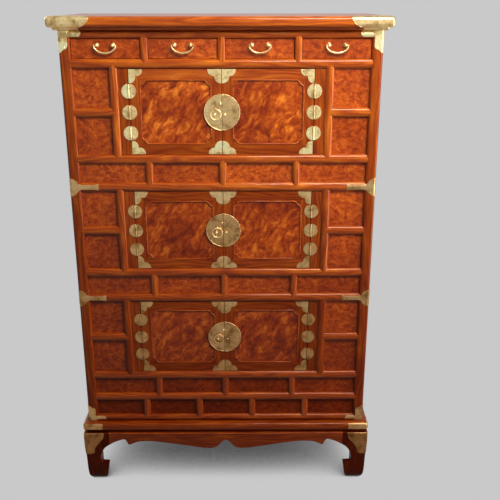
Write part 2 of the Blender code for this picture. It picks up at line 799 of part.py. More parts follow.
def hinge_half(sign, z, on_door):
    """The half of a hinge that is fixed to the door, or to the frame with the pin."""
    axis_x = sign * DOOR_SPAN
    away = -sign if on_door else sign
    leaf_front = FACE - LEAF_THICKNESS
    pieces = [half_disc(
        axis_x, z, HINGE_RADIUS, away, LEAF_EDGE, leaf_front, FACE + LEAF_SINK,
    )]
    for low, high in knuckle_spans(z, on_door):
        reach = sorted((axis_x, axis_x + away * (LEAF_EDGE + LEAF_SINK)))
        inset = FIT / 2
        pieces.append(box(
            *reach, leaf_front + inset, FACE - inset, low + inset, high - inset,
        ))
        pieces.append(rod(
            (axis_x, HINGE_Y, low), (axis_x, HINGE_Y, high), BARREL_RADIUS, BARREL_SIDES,
        ))
    if not on_door:
        half = BARREL_LENGTH / 2 - KNUCKLE_GAP
        pieces.append(rod(
            (axis_x, HINGE_Y, z - half), (axis_x, HINGE_Y, z + half), PIN_RADIUS, BARREL_SIDES,
        ))
    return pieces


def pin_bores(sign, door_z):
    """Cutters for the bore of each door knuckle."""
    axis_x = sign * DOOR_SPAN
    bores = []
    for z in hinge_heights(door_z):
        half = BARREL_LENGTH / 6 + KNUCKLE_GAP
        bores.append(rod(
            (axis_x, HINGE_Y, z - half), (axis_x, HINGE_Y, z + half), PIN_BORE, BARREL_SIDES,
        ))
    return bores


def make_bay_frames():
    """The column, the jamb with its door stop, and the short rail of each side bay."""
    for tier, door_z in enumerate(DOOR_Z, start=1):
        low = door_z + COLUMN_SEAT
        high = door_z + DOOR_OPENING - COLUMN_SEAT
        middle = door_z + DOOR_OPENING / 2
        for side, sign in SIDES.items():
            column_x = sorted((sign * COLUMN_IN, sign * COLUMN_OUT))
            jamb_x = sorted((sign * (DOOR_SPAN + DOOR_GAP), sign * JAMB_OUT))
            stop_x = sorted((sign * (DOOR_SPAN - STOP_LIP), sign * (DOOR_SPAN + JAMB / 2)))
            rail_x = sorted((sign * (COLUMN_OUT - COLUMN / 2), sign * (POST_IN - FIT)))
            pieces = [
                moulding_up(*column_x, low, high),
                box(*jamb_x, FACE, FRAME_BACK, low, high),
                box(*stop_x, FACE + DOOR_THICKNESS + FIT, FRAME_BACK - FIT, low, high),
                moulding_across(*rail_x, middle - RAIL / 2, middle + RAIL / 2),
            ]
            for z in hinge_heights(door_z):
                pieces += hinge_half(sign, z, on_door=False)
            finish(join(pieces), f"bay_frame_{side}_{tier}", ELM)


def notched_outline(x0, x1, z0, z1, notch):
    """A rectangle whose corners are each two small rounds that meet in an inward point."""
    radius = notch / 2
    corners = [(x0, z0, 1, 1), (x1, z0, -1, 1), (x1, z1, -1, -1), (x0, z1, 1, -1)]
    points = []
    for quarter, (corner_x, corner_z, inward_x, inward_z) in enumerate(corners):
        centres = [
            (corner_x + inward_x * radius, corner_z + inward_z * notch),
            (corner_x + inward_x * notch, corner_z + inward_z * radius),
        ]
        if quarter % 2 == 1:
            centres.reverse()
        for turn, (centre_x, centre_z) in enumerate(centres):
            for step in range(turn, NOTCH_STEPS + 1):
                angle = math.pi * (1 + quarter / 2 + step / NOTCH_STEPS / 2)
                points.append((
                    centre_x + radius * math.cos(angle),
                    centre_z + radius * math.sin(angle),
                ))
    return points


def make_doors():
    """Six doors: a frame with its hinge leaves, and a burl panel held in it."""
    for tier, door_z in enumerate(DOOR_Z, start=1):
        z0 = door_z + DOOR_GAP
        z1 = door_z + DOOR_OPENING - DOOR_GAP
        panel_z0 = door_z + DOOR_RAIL
        panel_z1 = door_z + DOOR_OPENING - DOOR_RAIL
        for side, sign in SIDES.items():
            pivot = (sign * DOOR_SPAN, HINGE_Y, door_z + DOOR_OPENING / 2)
            x0, x1 = sorted((sign * DOOR_GAP, sign * (DOOR_SPAN - DOOR_GAP)))
            panel_x0, panel_x1 = sorted((sign * DOOR_STILE, sign * (DOOR_SPAN - DOOR_STILE)))
            seat = FACE + PANEL_SETBACK + PANEL_THICKNESS
            slab = box(x0, x1, FACE, FACE + DOOR_THICKNESS, z0, z1)
            opening = prism(
                notched_outline(panel_x0, panel_x1, panel_z0, panel_z1, PANEL_NOTCH),
                "Y", FACE - OVERRUN, seat + FIT,
            )
            inner = prism(
                notched_outline(
                    panel_x0 + PANEL_LEDGE, panel_x1 - PANEL_LEDGE, panel_z0 + PANEL_LEDGE,
                    panel_z1 - PANEL_LEDGE, PANEL_NOTCH,
                ),
                "Y", FACE, FACE + DOOR_THICKNESS + OVERRUN,
            )
            pieces = [cut(slab, [opening, inner])]
            for z in hinge_heights(door_z):
                pieces += hinge_half(sign, z, on_door=True)
            frame = cut(join(pieces), pin_bores(sign, door_z))
            finish(frame, f"door_frame_{side}_{tier}", ELM, pivot)
            panel = prism(
                notched_outline(
                    panel_x0 + FIT, panel_x1 - FIT, panel_z0 + FIT, panel_z1 - FIT, PANEL_NOTCH,
                ),
                "Y", FACE + PANEL_SETBACK, seat,
            )
            finish(panel, f"door_panel_{side}_{tier}", BURL, pivot)


def stud(x, z):
    """A round-headed stud that stands out of a lock plate."""
    tip = LOCK_FACE - STUD_HEIGHT
    neck = rod((x, LOCK_BACK, z), (x, tip + STUD_RADIUS / 2, z), STUD_RADIUS / 2, BARREL_SIDES)
    head = dome((x, tip + STUD_RADIUS, z), STUD_RADIUS, KNOB_SIDES, KNOB_RINGS)
    return [neck, head]


def make_locks():
    """The round lock plates, split between the doors, and the ring on each left plate."""
    for tier, door_z in enumerate(DOOR_Z, start=1):
        middle = door_z + DOOR_OPENING / 2
        ring_z = middle - RING_BELOW
        eye = Vector((-RING_ASIDE, LOCK_FACE - EYE_RADIUS, ring_z + RING_RADIUS))
        for side, sign in SIDES.items():
            pivot = (sign * DOOR_SPAN, HINGE_Y, middle)
            pieces = [half_disc(0.0, middle, LOCK_RADIUS, sign, LOCK_SPLIT, LOCK_FACE, LOCK_BACK)]
            if side == "left":
                pieces.append(torus(eye, "X", EYE_RADIUS, EYE_WIRE, KNOB_SIDES, WIRE_SIDES))
                pieces += stud(-LEFT_STUD_ASIDE, ring_z)
            else:
                pieces += stud(RIGHT_STUD_ASIDE, ring_z)
            finish(join(pieces), f"lock_plate_{side}_{tier}", BRASS, pivot)
        centre = eye - Vector((0.0, 0.0, RING_RADIUS))
        ring = torus(centre, "Y", RING_RADIUS, RING_WIRE, RING_STEPS, WIRE_SIDES)
        finish(ring, f"ring_pull_{tier}", BRASS, eye)


def drawer_knob(x, z):
    """A round knob with the bore that a bail's end turns in."""
    face = FRONT + DRAWER_SETBACK
    centre = (x, face - KNOB_STANDOFF, z)
    neck = rod((x, face + KNOB_SINK, z), centre, KNOB_NECK, BARREL_SIDES)
    return [neck, dome(centre, KNOB_RADIUS, KNOB_SIDES, KNOB_RINGS)]


def bail_path():
    """The bail's middle line as (x, z) from the knobs' axis, and the wire's radius there."""
    knob = KNOB_SPACING / 2
    half_width = knob + KNOB_RADIUS + BAIL_CLEARANCE + BAIL_PIN
    path = [(-knob, 0.0, BAIL_PIN)]
    for step in range(BAIL_STEPS + 1):
        angle = math.pi * step / BAIL_STEPS
        x = -half_width * math.cos(angle)
        z = -BAIL_DROP * math.sin(angle)
        path.append((x, z, BAIL_PIN + (BAIL_THICK - BAIL_PIN) * math.sin(angle)))
    path.append((-path[0][0], 0.0, BAIL_PIN))
    return path


def bail_piece(middle_x, y, z):
    """A bail: a tapering wire along its path, with its two ends turned in."""
    curve = bpy.data.curves.new("bail", "CURVE")
    curve.dimensions = "3D"
    curve.bevel_depth = 1.0
    curve.bevel_resolution = 2
    curve.use_fill_caps = True
    spline = curve.splines.new("POLY")
    path = bail_path()
    spline.points.add(len(path) - 1)
    for point, (along, up, radius) in zip(spline.points, path):
        point.co = (middle_x + along, y, z + up, 1.0)
        point.radius = radius
    wire = bpy.data.objects.new("bail", curve)
    WORKSHOP.objects.link(wire)
    mesh = evaluated_mesh(wire)
    bpy.data.objects.remove(wire, do_unlink=True)
    weld(mesh)
    return rough_piece(mesh)


def make_drawers():
    """Four drawers, each with two knobs and a bail that swings between them."""
    face = FRONT + DRAWER_SETBACK
    rear = BACK_FACE - DRAWER_BACK_SPACE
    half = BAY_WIDTH / 2 - DRAWER_SIDE_GAP
    low = DRAWER_Z + DRAWER_BASE_GAP
    high = DRAWER_Z + DRAWER_OPENING - DRAWER_SIDE_GAP
    knob_z = DRAWER_Z + DRAWER_OPENING / 2 + KNOB_ABOVE_MIDDLE
    knob_y = face - KNOB_STANDOFF
    for number, middle in enumerate(DRAWER_X, start=1):
        body = box(middle - half, middle + half, face, rear, low, high)
        inside = box(
            middle - half + DRAWER_WALL, middle + half - DRAWER_WALL, face + DRAWER_FRONT,
            rear - DRAWER_WALL, low + DRAWER_BASE, high + OVERRUN,
        )
        pieces = [cut(body, [inside])]
        for sign in SIDES.values():
            pieces += drawer_knob(middle + sign * KNOB_SPACING / 2, knob_z)
        reach = KNOB_SPACING / 2 + KNOB_RADIUS + OVERRUN
        bore = rod(
            (middle - reach, knob_y, knob_z), (middle + reach, knob_y, knob_z), KNOB_BORE, BARREL_SIDES,
        )
        finish(cut(join(pieces), [bore]), f"drawer_box_{number}", BURL)
        bail = bail_piece(middle, knob_y, knob_z)
        finish(bail, f"drawer_bail_{number}", BRASS, (middle, knob_y, knob_z))


make_legs()
make_stand_frame()
make_base_sill()
make_top_board()
make_posts()
make_side_panels()
make_back_panel()
make_floors()
make_drawer_deck()
make_drawer_frame()
make_row_frames()
make_base_row_frame()
make_burl_boards()
make_bay_frames()
make_doors()
make_locks()
make_drawers()
bpy.data.collections.remove(WORKSHOP)
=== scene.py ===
"""The looks of a three-tier korean chest: lacquered elm, burl panels and pale brass fittings.

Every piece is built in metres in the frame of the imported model: the floor is z = 0, the front
of the chest faces -Y, and the plane x = 0 runs between the doors. A solid is a pair: its points
and its faces. An outline, a section and a profile are lists of flat points.
"""
import math
import random

import bmesh
import bpy
from mathutils import Euler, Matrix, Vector


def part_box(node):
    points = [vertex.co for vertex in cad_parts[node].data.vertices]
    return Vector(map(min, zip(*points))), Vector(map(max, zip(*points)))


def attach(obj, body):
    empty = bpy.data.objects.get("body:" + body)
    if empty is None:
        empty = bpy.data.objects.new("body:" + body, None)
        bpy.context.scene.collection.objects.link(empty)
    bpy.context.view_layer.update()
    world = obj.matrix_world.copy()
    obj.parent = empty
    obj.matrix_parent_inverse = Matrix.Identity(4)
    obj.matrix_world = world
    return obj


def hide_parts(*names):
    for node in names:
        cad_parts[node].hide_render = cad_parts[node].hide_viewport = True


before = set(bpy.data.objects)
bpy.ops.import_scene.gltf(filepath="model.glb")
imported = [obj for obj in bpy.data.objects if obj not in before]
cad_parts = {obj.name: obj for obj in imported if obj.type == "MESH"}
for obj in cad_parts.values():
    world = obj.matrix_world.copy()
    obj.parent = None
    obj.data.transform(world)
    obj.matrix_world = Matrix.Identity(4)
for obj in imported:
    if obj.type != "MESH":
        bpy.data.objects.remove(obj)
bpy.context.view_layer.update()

# Levels and edges read from the frame
TOP_LOW, TOP_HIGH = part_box("top_board")
POST_LOW, POST_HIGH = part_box("post_front_right")
REAR_LOW, REAR_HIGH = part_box("post_rear_right")
SILL_LOW, SILL_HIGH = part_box("base_sill")
LEG_LOW, LEG_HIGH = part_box("stand_leg_front_right")
SIDE_LOW, SIDE_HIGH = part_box("side_panel_right")
DRAWER_LOW, DRAWER_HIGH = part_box("drawer_box_1")
STAND_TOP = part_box("stand_frame")[1].z
STAND_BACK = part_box("stand_leg_rear_right")[1].y
POST_IN, POST_OUT = POST_LOW.x, POST_HIGH.x
FRONT, FRAME_BACK, BACK = POST_LOW.y, POST_HIGH.y, REAR_HIGH.y
CARCASS_BASE, CARCASS_TOP = SILL_HIGH.z, POST_HIGH.z
STAND_X, STAND_FRONT, STAND_HEIGHT = LEG_HIGH.x, LEG_LOW.y, LEG_HIGH.z

# Heights of the rows on the front
BASE_RAIL = 0.025
LOW_ROW = 0.056
RAIL = 0.029
DOOR_OPENING = 0.262
PANEL_ROW = 0.060
DRAWER_OPENING = 0.058
TOP_RAIL = 0.024

# Widths and depths of the face frames
DOOR_SPAN = 0.283
JAMB = 0.0315
COLUMN = 0.0275
DIVIDER = 0.025
MOULDING_DEPTH = 0.012
MOULDING_RISE = 0.010
DIVIDER_SETBACK = 0.0006
DIVIDER_REACH = 0.0012
RAIL_CORE = 0.016
FACE_SETBACK = 0.008
PANEL_BOARD = 0.008
PANEL_TUCK = 0.004
JAMB_TUCK = 0.0035
POST_ROUND = 0.009
TOP_ROUND = 0.011
TOP_THICKNESS = 0.031
BEAD_OVERHANG = 0.013
BEAD_ROUND = 0.008
SILL_ROUND = 0.010
SILL_RAIL = 0.070
SIDE_RAIL_DEPTH = 0.005
FIT = 0.0003
EDGE = 0.0006
SOFT_EDGE = 0.0015
STAND_EDGE = 0.0026

# Doors
DOOR_THICKNESS = 0.020
DOOR_GAP = 0.001
MEETING_GAP = 0.0006
DOOR_STILE = 0.0325
DOOR_RAIL = 0.033
DOOR_RIM = 0.0004
PANEL_SETBACK = 0.003
PANEL_THICKNESS = 0.009
PANEL_NOTCH = 0.024
STOP_LIP = 0.009
BEAD_RADIUS = 0.0022
BEAD_SINK = 0.0010

# Hinges
HINGE_RADIUS = 0.0225
HINGE_PITCH = 0.064
LEAF_THICKNESS = 0.0016
LEAF_EDGE = 0.003
LEAF_RIM = 0.0006
LEAF_NAIL = 0.0013
LEAF_NAIL_CIRCLE = 0.01485
LEAF_NAIL_TURN = 52
BARREL_RADIUS = 0.0025
BARREL_BORE = 0.0018
BARREL_LENGTH = 0.042
BARREL_RIM = 0.0004
PIN_RADIUS = 0.0012
KNUCKLE_GAP = 0.0005

# Lock plates, rings and studs
LOCK_RADIUS = 0.056
LOCK_THICKNESS = 0.0015
LOCK_SPLIT = 0.0006
RIM_WIRE = 0.0013
RIM_SINK = 0.0003
RIM_START = 2.5783
LOCK_GROOVE = 0.0035 / LOCK_RADIUS
LOCK_GROOVE_DEPTH = 0.0004
RING_RADIUS = 0.016
RING_WIRE = 0.002
RING_ASIDE = 0.0195
RING_BELOW = 0.006
EYE_WIRE = 0.0014
EYE_RADIUS = 0.0042
STUD = (0.004, 0.0085)
HIGH_STUD = (0.0032, 0.006)
STUD_FOOT = [(0.95, 0.0), (0.95, 0.0006), (0.5, 0.0012)]
STUD_NECK = (0.45, 1.7)
LEFT_STUD_ASIDE = 0.0225
RIGHT_STUD_ASIDE = 0.009
HIGH_STUD_ASIDE = 0.004
HIGH_STUD_ABOVE = 0.027

# Drawers
DRAWER_COUNT = 4
DRAWER_SETBACK = 0.009
DRAWER_FRONT = 0.016
DRAWER_EDGE = 0.0008
DRAWER_OVERLAP = 0.002
DRAWER_WALL = 0.008
DRAWER_BASE = 0.006
KNOB_SPACING = 0.048
KNOB_RADIUS = 0.0060
KNOB_STANDOFF = 0.009
KNOB_ABOVE_MIDDLE = 0.0105
KNOB_NECK = [
    (0.00646, 0.0), (0.00646, 0.0006), (0.00408, 0.0014), (0.0034, 0.0025), (0.0034, KNOB_STANDOFF),
]
BAIL_PIN = 0.0021
BAIL_THICK = 0.0031
BAIL_DROP = 0.0225
BAIL_CLEARANCE = 0.0005

# Stand
LEG_WIDTH = 0.0875
LEG_CORE = 0.0525
APRON_THICKNESS = 0.022
APRON_DROP = 0.0635
APRON_END = 0.110
SIDE_APRON_FLAT = 0.060
STAND_INSET = 0.012
STAND_RING = 0.080
# A thin bead along the stand's top edge, toned bright: a painted highlight
TOP_LINE = 0.0020
TOP_LINE_PROUD = 0.0010

# Thin brass trim
BRASS = 0.0009
BRASS_SINK = 0.0004
BRASS_EDGE = 0.0003
BRASS_RIM = 0.0005
NAIL_RADIUS = 0.0017
NAIL_HEIGHT = 0.0008
BRACKET_REACH = 0.042
BRACKET_ARM = 0.0205
MIDDLE_ARM = 0.0225
BRACKET_INSET = (0.0002, 0.0004)
BRACKET_NAIL = 0.0012
BRACKET_NAILS = ((0.006, 0.036), (0.008, 0.009), (0.034, 0.008))
LOBE = 0.86
CENTRE_LOBE = 0.92
CAP_FRONT = 0.127
CAP_SIDE = 0.095
CAP_SWEEP = 0.030
CAP_SWEEP_POWER = 2.8
CAP_TOP_ARM = 0.040
CAP_WIRE = 0.0011
SIDE_REACH = 0.020
POST_BRACKET_INSET = 0.0006
POST_BRACKET_TIP = 0.30
POST_BRACKET_CURL = 0.8
POST_BRACKET_CORNER = 0.86
POST_BRACKET_TOE = 0.004
STRAP_DISC = 0.029
STRAP_DISC_INSET = 0.001
STRAP_DISC_END = 158.25
STRAP_DISC_STEPS = 7
STRAP_ARM = 0.0076
STRAP_NECK = ((-0.003, 0.0022), (-0.007, 0.0004), (-0.012, 0.0))
STRAP_TIP = 0.392
STRAP_SPREAD = ((0.014, 0.0), (0.009, 0.0012), (0.005, 0.0026), (0.0015, 0.0006), (0.0005, -0.004))
STRAP_NOTCH = 0.002
STRAP_NAILS = ((0.400, 0.0), (0.430, 0.0), (0.468, 0.018), (0.468, -0.018))
SILL_STRAP = (0.0005, 0.0275)
SILL_STRAP_FRONT = 0.069
SILL_STRAP_SIDE = 0.045
SILL_STRAP_NAILS = (0.061, 0.024)
STAND_PLATE_TOP = 0.0008
STAND_PLATE_EDGE = [
    (0.0705, 0.0), (0.0667, 0.020), (0.0495, 0.041), (0.0355, 0.062), (0.0315, 0.079),
    (0.0215, 0.085), (0.0100, 0.086),
]
STAND_PLATE_LINE = 0.0695
STAND_PLATE_NAILS = ((0.060, 0.008), (0.030, 0.050), (0.010, 0.078), (0.010, 0.010))

# How finely round shapes are drawn
ROUND_STEPS = 24
FINE_STEPS = 40
EDGE_STEPS = 3
TOP_STEPS = 8
WIRE_SIDES = 12
RING_SIDES = 16
RIM_SIDES = 10
STUD_STEPS = 20
DOME_STEPS = 9
KNOB_STEPS = 28
LOBE_STEPS = 8
CENTRE_LOBE_STEPS = 10
NOTCH_STEPS = 6
CURVE_STEPS = 5
TOE_STEPS = 4
LEG_OUTER_STEPS = 4
LEG_INNER_STEPS = 6
CAP_STEPS = (10, 8, 12)
POST_CUTS = 7
RAIL_END_CUTS = 6
BRACKET_CUTS = 12
STRAP_CUTS = 14
SILL_CUTS = 8
LEG_EDGE_CUTS = 4
STAND_PLATE_CUTS = 12
SAME_PLACE = 1e-6
NO_RADIUS = 1e-5
MITRE_LIMIT = 0.35
RIM_SHARE = 0.3
SHARP_ANGLE = 38

# Places that follow from these sizes
FACE = FRONT + FACE_SETBACK
MOULDING_BACK = FRONT + MOULDING_DEPTH
PANEL_FACE = MOULDING_BACK + FIT
RAIL_TUCK = (RAIL - RAIL_CORE) / 2
COLUMN_IN = DOOR_SPAN + JAMB
COLUMN_OUT = COLUMN_IN + COLUMN
JAMB_OUT = COLUMN_IN + JAMB_TUCK
HINGE_Y = FACE - LEAF_EDGE
LOCK_BACK = FACE - FIT
LOCK_FACE = LOCK_BACK - LOCK_THICKNESS
BOARD_LOW = TOP_HIGH.z - TOP_THICKNESS
BEAD_X = POST_OUT + BEAD_OVERHANG
BEAD_FRONT = FRONT - BEAD_OVERHANG
BEAD_TOP = BOARD_LOW + TOP_THICKNESS / 2
BASE_ROW_Z = CARCASS_BASE + BASE_RAIL
MID_RAIL_Z = BASE_ROW_Z + LOW_ROW
LOW_ROW_Z = MID_RAIL_Z + RAIL
TIER_PITCH = DOOR_OPENING + RAIL + PANEL_ROW + RAIL
DOOR_Z = [LOW_ROW_Z + LOW_ROW + RAIL + tier * TIER_PITCH for tier in (2, 1, 0)]
DRAWER_Z = DOOR_Z[0] + DOOR_OPENING + RAIL
DRAWER_PITCH = (2 * POST_IN + DIVIDER) / DRAWER_COUNT
DRAWER_X = [(i - (DRAWER_COUNT - 1) / 2) * DRAWER_PITCH for i in range(DRAWER_COUNT)]
DIVIDER_X = [(i - DRAWER_COUNT / 2) * DRAWER_PITCH for i in range(1, DRAWER_COUNT)]
BASE_PANELS = DRAWER_COUNT + 1
BASE_PITCH = (2 * POST_IN + DIVIDER) / BASE_PANELS
BASE_DIVIDER_X = [(i - BASE_PANELS / 2) * BASE_PITCH for i in range(1, BASE_PANELS)]
SIDES = {"left": -1, "right": 1}
DOORS = [
    (f"{side}_{tier}", sign, tier, door_z)
    for tier, door_z in enumerate(DOOR_Z, start=1) for side, sign in SIDES.items()
]
RIGHT = Vector((1, 0, 0))
INTO = Vector((0, 1, 0))
UP = Vector((0, 0, 1))

# The rounded corner of a post: where it starts, measured round the front, and where the side does
POST_FLAT = POST_OUT - POST_ROUND
POST_SIDE = POST_FLAT + POST_ROUND * math.pi / 2

# Painted shade: the chest darkens towards the floor, standing in for light that falls off lower down:
# (share of the red left, z), and the powers of that share for red, green and blue
HEIGHT_SHADE = ((0.50, 0.0), (0.52, 0.30), (0.62, 0.52), (0.84, 0.90), (1.0, 1.15), (1.0, 1.60))
SHADE_POWERS = (1.0, 1.48, 1.8)

# How light single boards and fittings are. The doors have a tone for the bottom rail, the right
# stile, the top rail and the left stile of each tier
LUCK = random.Random(20)
BOARD_TONES = (0.93, 1.07)
TREE = 9.0
SLANT_UP, SLANT_ACROSS = 0.82, 0.57
POST_TONE = 0.80
DOOR_TONES = {1: (0.66, 0.78, 0.96, 0.78), 2: (0.80, 0.70, 0.63, 0.70), 3: (0.70, 0.70, 0.66, 0.70)}
# Hinges and door brackets are toned brighter in the top tier and darker below: painted light and shade
DOOR_BRASS_LIT_TONES = {1: 1.12, 2: 0.82, 3: 0.76}
# The columns of lower tiers are toned darker: painted shade, as the light falls off lower down
COLUMN_SHADE_TONES = {1: 1.05, 2: 0.92, 3: 0.76}
DOOR_PANEL_TONES = {1: 0.90, 2: 0.84, 3: 1.16}
# The lock plates are toned darker than their rims: partly painted shade, so that the ring and studs stand
# out, and partly each tier's own tone
LOCK_PLATE_SHADE_TONES = {1: 0.84, 2: 0.66, 3: 0.84}
JAMB_TONE = 0.74
LEG_TONE = 0.33
STAND_TONE = 0.92
# The stand's top line is toned bright: a painted highlight
TOP_LINE_HIGHLIGHT_TONE = 1.5
SILL_TONE = 1.02
FOOT_ROW_TONE = 1.15
# The lowest rows of burl are toned darker, the bottom one most: partly painted shade, partly their own
# colour
LOW_BURL_TONE = 0.82
BASE_BURL_TONE = 0.66
RIM_TONE = 0.95
# The ring, its eye and the studs are toned brighter than their plate: a painted highlight
RING_HIGHLIGHT_TONE = 1.15
CAP_BEAD_TONE = 0.8
# The rail straps and the stand plates lower down are toned darker: partly painted shade, partly their own
# colour
STRAP_TONE = 0.74
SILL_STRAP_TONE = 0.92
STAND_PLATE_TONE = 0.62

# Brackets at the ends of the front posts. `down` is the way from the corner along the post, and
# the nails are (distance from the middle, distance from the corner)
POST_BRACKETS = {
    "top": {
        # The top bracket is toned brighter than the foot: painted light over the shade under the top board
        "tone": 1.14, "rail": (CARCASS_TOP - TOP_RAIL, CARCASS_TOP), "down": -1,
        "arm_x": 0.4155, "arm_height": 0.0175, "post_x": 0.4575, "drops": (0.052, 0.064),
        "nails": ((0.4255, 0.008), (0.4665, 0.048)),
    },
    "foot": {
        "tone": 0.98, "rail": (CARCASS_BASE + FIT, BASE_ROW_Z), "down": 1,
        "arm_x": 0.4215, "arm_height": 0.0205, "post_x": 0.4585, "drops": (0.052, 0.063),
        "nails": ((0.4502, 0.009), (0.4330, 0.013)),
    },
}

# The lock plate from its middle to its rim: (share of the radius, depth)
LOCK_STATIONS = [
    (0.0, 0.0), (0.3, 0.0), (0.6, 0.0), (0.8, 0.0), (1 - 1.5 * LOCK_GROOVE, 0.0),
    (1 - 1.2 * LOCK_GROOVE, LOCK_GROOVE_DEPTH), (1 - 0.9 * LOCK_GROOVE, 0.0),
    (1 - 0.3 * LOCK_GROOVE, 0.0), (0.995, 0.0003), (1.0, 0.0007),
]

# The leg's outline, as shares of its width from the outer edge and of its height: down the outer
# edge, then up the inner one. Each stays sharp at one corner
LEG_OUTER = [
    (0.000, 1.000), (0.000, 0.820), (0.009, 0.661), (0.034, 0.481), (0.048, 0.246),
    (0.074, 0.109), (0.126, 0.038), (0.206, 0.000),
]
LEG_OUTER_CORNERS = (1,)
LEG_INNER = [
    (0.686, 0.000), (0.789, 0.027), (0.846, 0.098), (0.905, 0.265), (0.935, 0.340),
    (0.916, 0.358), (0.846, 0.362), (0.700, 0.366), (0.640, 0.385), (0.614, 0.425),
    (0.612, 0.475), (0.632, 0.530), (0.678, 0.584), (0.752, 0.650), (0.869, 0.708),
    (1.000, 0.749), (1.000, 1.000),
]
LEG_INNER_CORNERS = (15,)
# The apron's lower edge by the leg: shares of its shaped end from the leg, and of APRON_DROP
APRON_END_SHARES = [
    (0.000, 0.766), (0.200, 0.573), (0.400, 0.444), (0.509, 0.419), (0.573, 0.565),
    (0.609, 0.710), (0.664, 0.758), (0.718, 0.726), (0.836, 0.629), (1.000, 0.548),
]
# The front apron's lower edge from there to the middle: shares of that length, and of APRON_DROP
APRON_MIDDLE_SHARES = [
    (0.118, 0.532), (0.217, 0.580), (0.469, 0.758), (0.686, 0.935), (0.781, 0.984),
    (0.827, 0.992), (0.876, 0.935), (0.906, 0.839), (0.939, 0.677), (0.965, 0.548),
    (1.000, 0.452),
]

# Colours, as the places and colours of ramps
ELM_COLOURS = [
    (0.36, (0.230, 0.027, 0.0012)), (0.52, (0.345, 0.052, 0.0020)),
    (0.68, (0.450, 0.086, 0.0035)), (0.86, (0.600, 0.150, 0.0080)),
]
ELM_PORES = (0.120, 0.013, 0.001)
BURL_COLOURS = [
    (0.00, (0.190, 0.018, 0.0015)), (0.30, (0.330, 0.040, 0.0025)), (0.55, (0.480, 0.075, 0.0050)),
]
FLAME_GOLD = [(0.78, (0.680, 0.150, 0.011)), (1.00, (0.900, 0.260, 0.022))]
FINE_GOLD = [(0.78, (0.600, 0.120, 0.009)), (1.00, (0.760, 0.190, 0.016))]
BURL_SHADES = [(0.34, (0.72, 0.60, 0.55)), (0.62, (1.0, 1.0, 1.0))]
BURL_FLECKS = (0.080, 0.010, 0.002)
INNER_COLOURS = [
    (0.30, (0.290, 0.130, 0.045)), (0.50, (0.420, 0.215, 0.085)), (0.70, (0.530, 0.300, 0.135)),
]
BRASS_COLOURS = [
    (0.34, (0.420, 0.270, 0.100)), (0.48, (0.850, 0.610, 0.270)), (0.62, (1.000, 0.780, 0.400)),
]
BRASS_SPOTS = (0.300, 0.190, 0.070)

# Stage, lamps as (place, aim, size, power), and camera
BACKGROUND = 0.584
GIVEN_BACK = 0.12
SKY_LEVEL = 0.03
# The floor's glow is darkened near the chest by ambient occlusion: a painted shadow
FLOOR_SHADE = (0.17, 0.48, 0.08, 1.0)
FLOOR_SHADE_REACH = 0.8
STAGE_REACH = 9.0
BACKDROP_Y = 3.5
BACKDROP_HEIGHT = 7.0
LAMPS = {
    "high_lamp": ((0.6, -1.35, 2.75), (0.0, -0.2, 1.3), (1.1, 0.45), 46.0),
    "window_lamp": ((1.5, -1.45, 2.30), (0.2, -0.2, 1.2), (0.8, 0.6), 24.0),
    "room_lamp": ((0.8, -4.2, 1.7), (0.0, -0.2, 0.9), (3.0, 1.6), 4.0),
    "right_lamp": ((2.1, -0.75, 1.00), (0.0, -0.25, 0.95), (0.7, 1.8), 26.0),
    "rear_lamp": ((-2.7, 3.2, 2.4), (0.0, 0.2, 0.9), (2.0, 1.5), 90.0),
}
CAMERA_PLACE = (0.0738, -2.450, 1.6455)
CAMERA_TURN = (71.003, 0.0, -0.313)
LENS = 52.345
SENSOR = 36.0


def arc(centre, radii, start, stop, steps):
    """Points of an arc between two angles in degrees, with one radius or one for each axis."""
    across, up = radii if isinstance(radii, tuple) else (radii, radii)
    turns = [math.radians(start + (stop - start) * step / steps) for step in range(steps + 1)]
    return [(centre[0] + across * math.cos(t), centre[1] + up * math.sin(t)) for t in turns]


def ring_about(centre, across, up, radius, steps):
    """Points evenly round a centre, in the plane of two directions."""
    turns = [2 * math.pi * step / steps for step in range(steps)]
    return [centre + across * radius * math.cos(t) + up * radius * math.sin(t) for t in turns]


def steps_between(low, high, count):
    """Evenly spaced places between two others."""
    return [low + (high - low) * i / count for i in range(1, count)]


def value_at(curve, height):
    """The value that a curve of rising (value, height) has at a height."""
    for (value, low), (next_value, high) in zip(curve, curve[1:]):
        if height < high:
            return value + (next_value - value) * max(height - low, 0.0) / (high - low)
    return curve[-1][0]


def sideways(direction):
    """A direction square to another."""
    helper = UP if abs(direction.z) < 0.9 else INTO
    return direction.cross(helper).normalized()


def solid_of(work):
    """The solid that a bmesh holds. The bmesh is used up."""
    work.verts.index_update()
    points = [corner.co.copy() for corner in work.verts]
    faces = [[corner.index for corner in face.verts] for face in work.faces]
    work.free()
    return points, faces


def block(x, y, z, rounding=0.0, steps=EDGE_STEPS):
    """A box between two places on each axis, with its edges rounded."""
    low = Vector([min(places) for places in (x, y, z)])
    high = Vector([max(places) for places in (x, y, z)])
    work = bmesh.new()
    bmesh.ops.create_cube(work, size=1.0)
    bmesh.ops.scale(work, vec=high - low, verts=work.verts)
    bmesh.ops.translate(work, vec=(low + high) / 2, verts=work.verts)
    if rounding:
        bmesh.ops.bevel(
            work, geom=work.edges[:], offset=rounding, segments=steps, profile=0.5, affect="EDGES",
        )
    return solid_of(work)


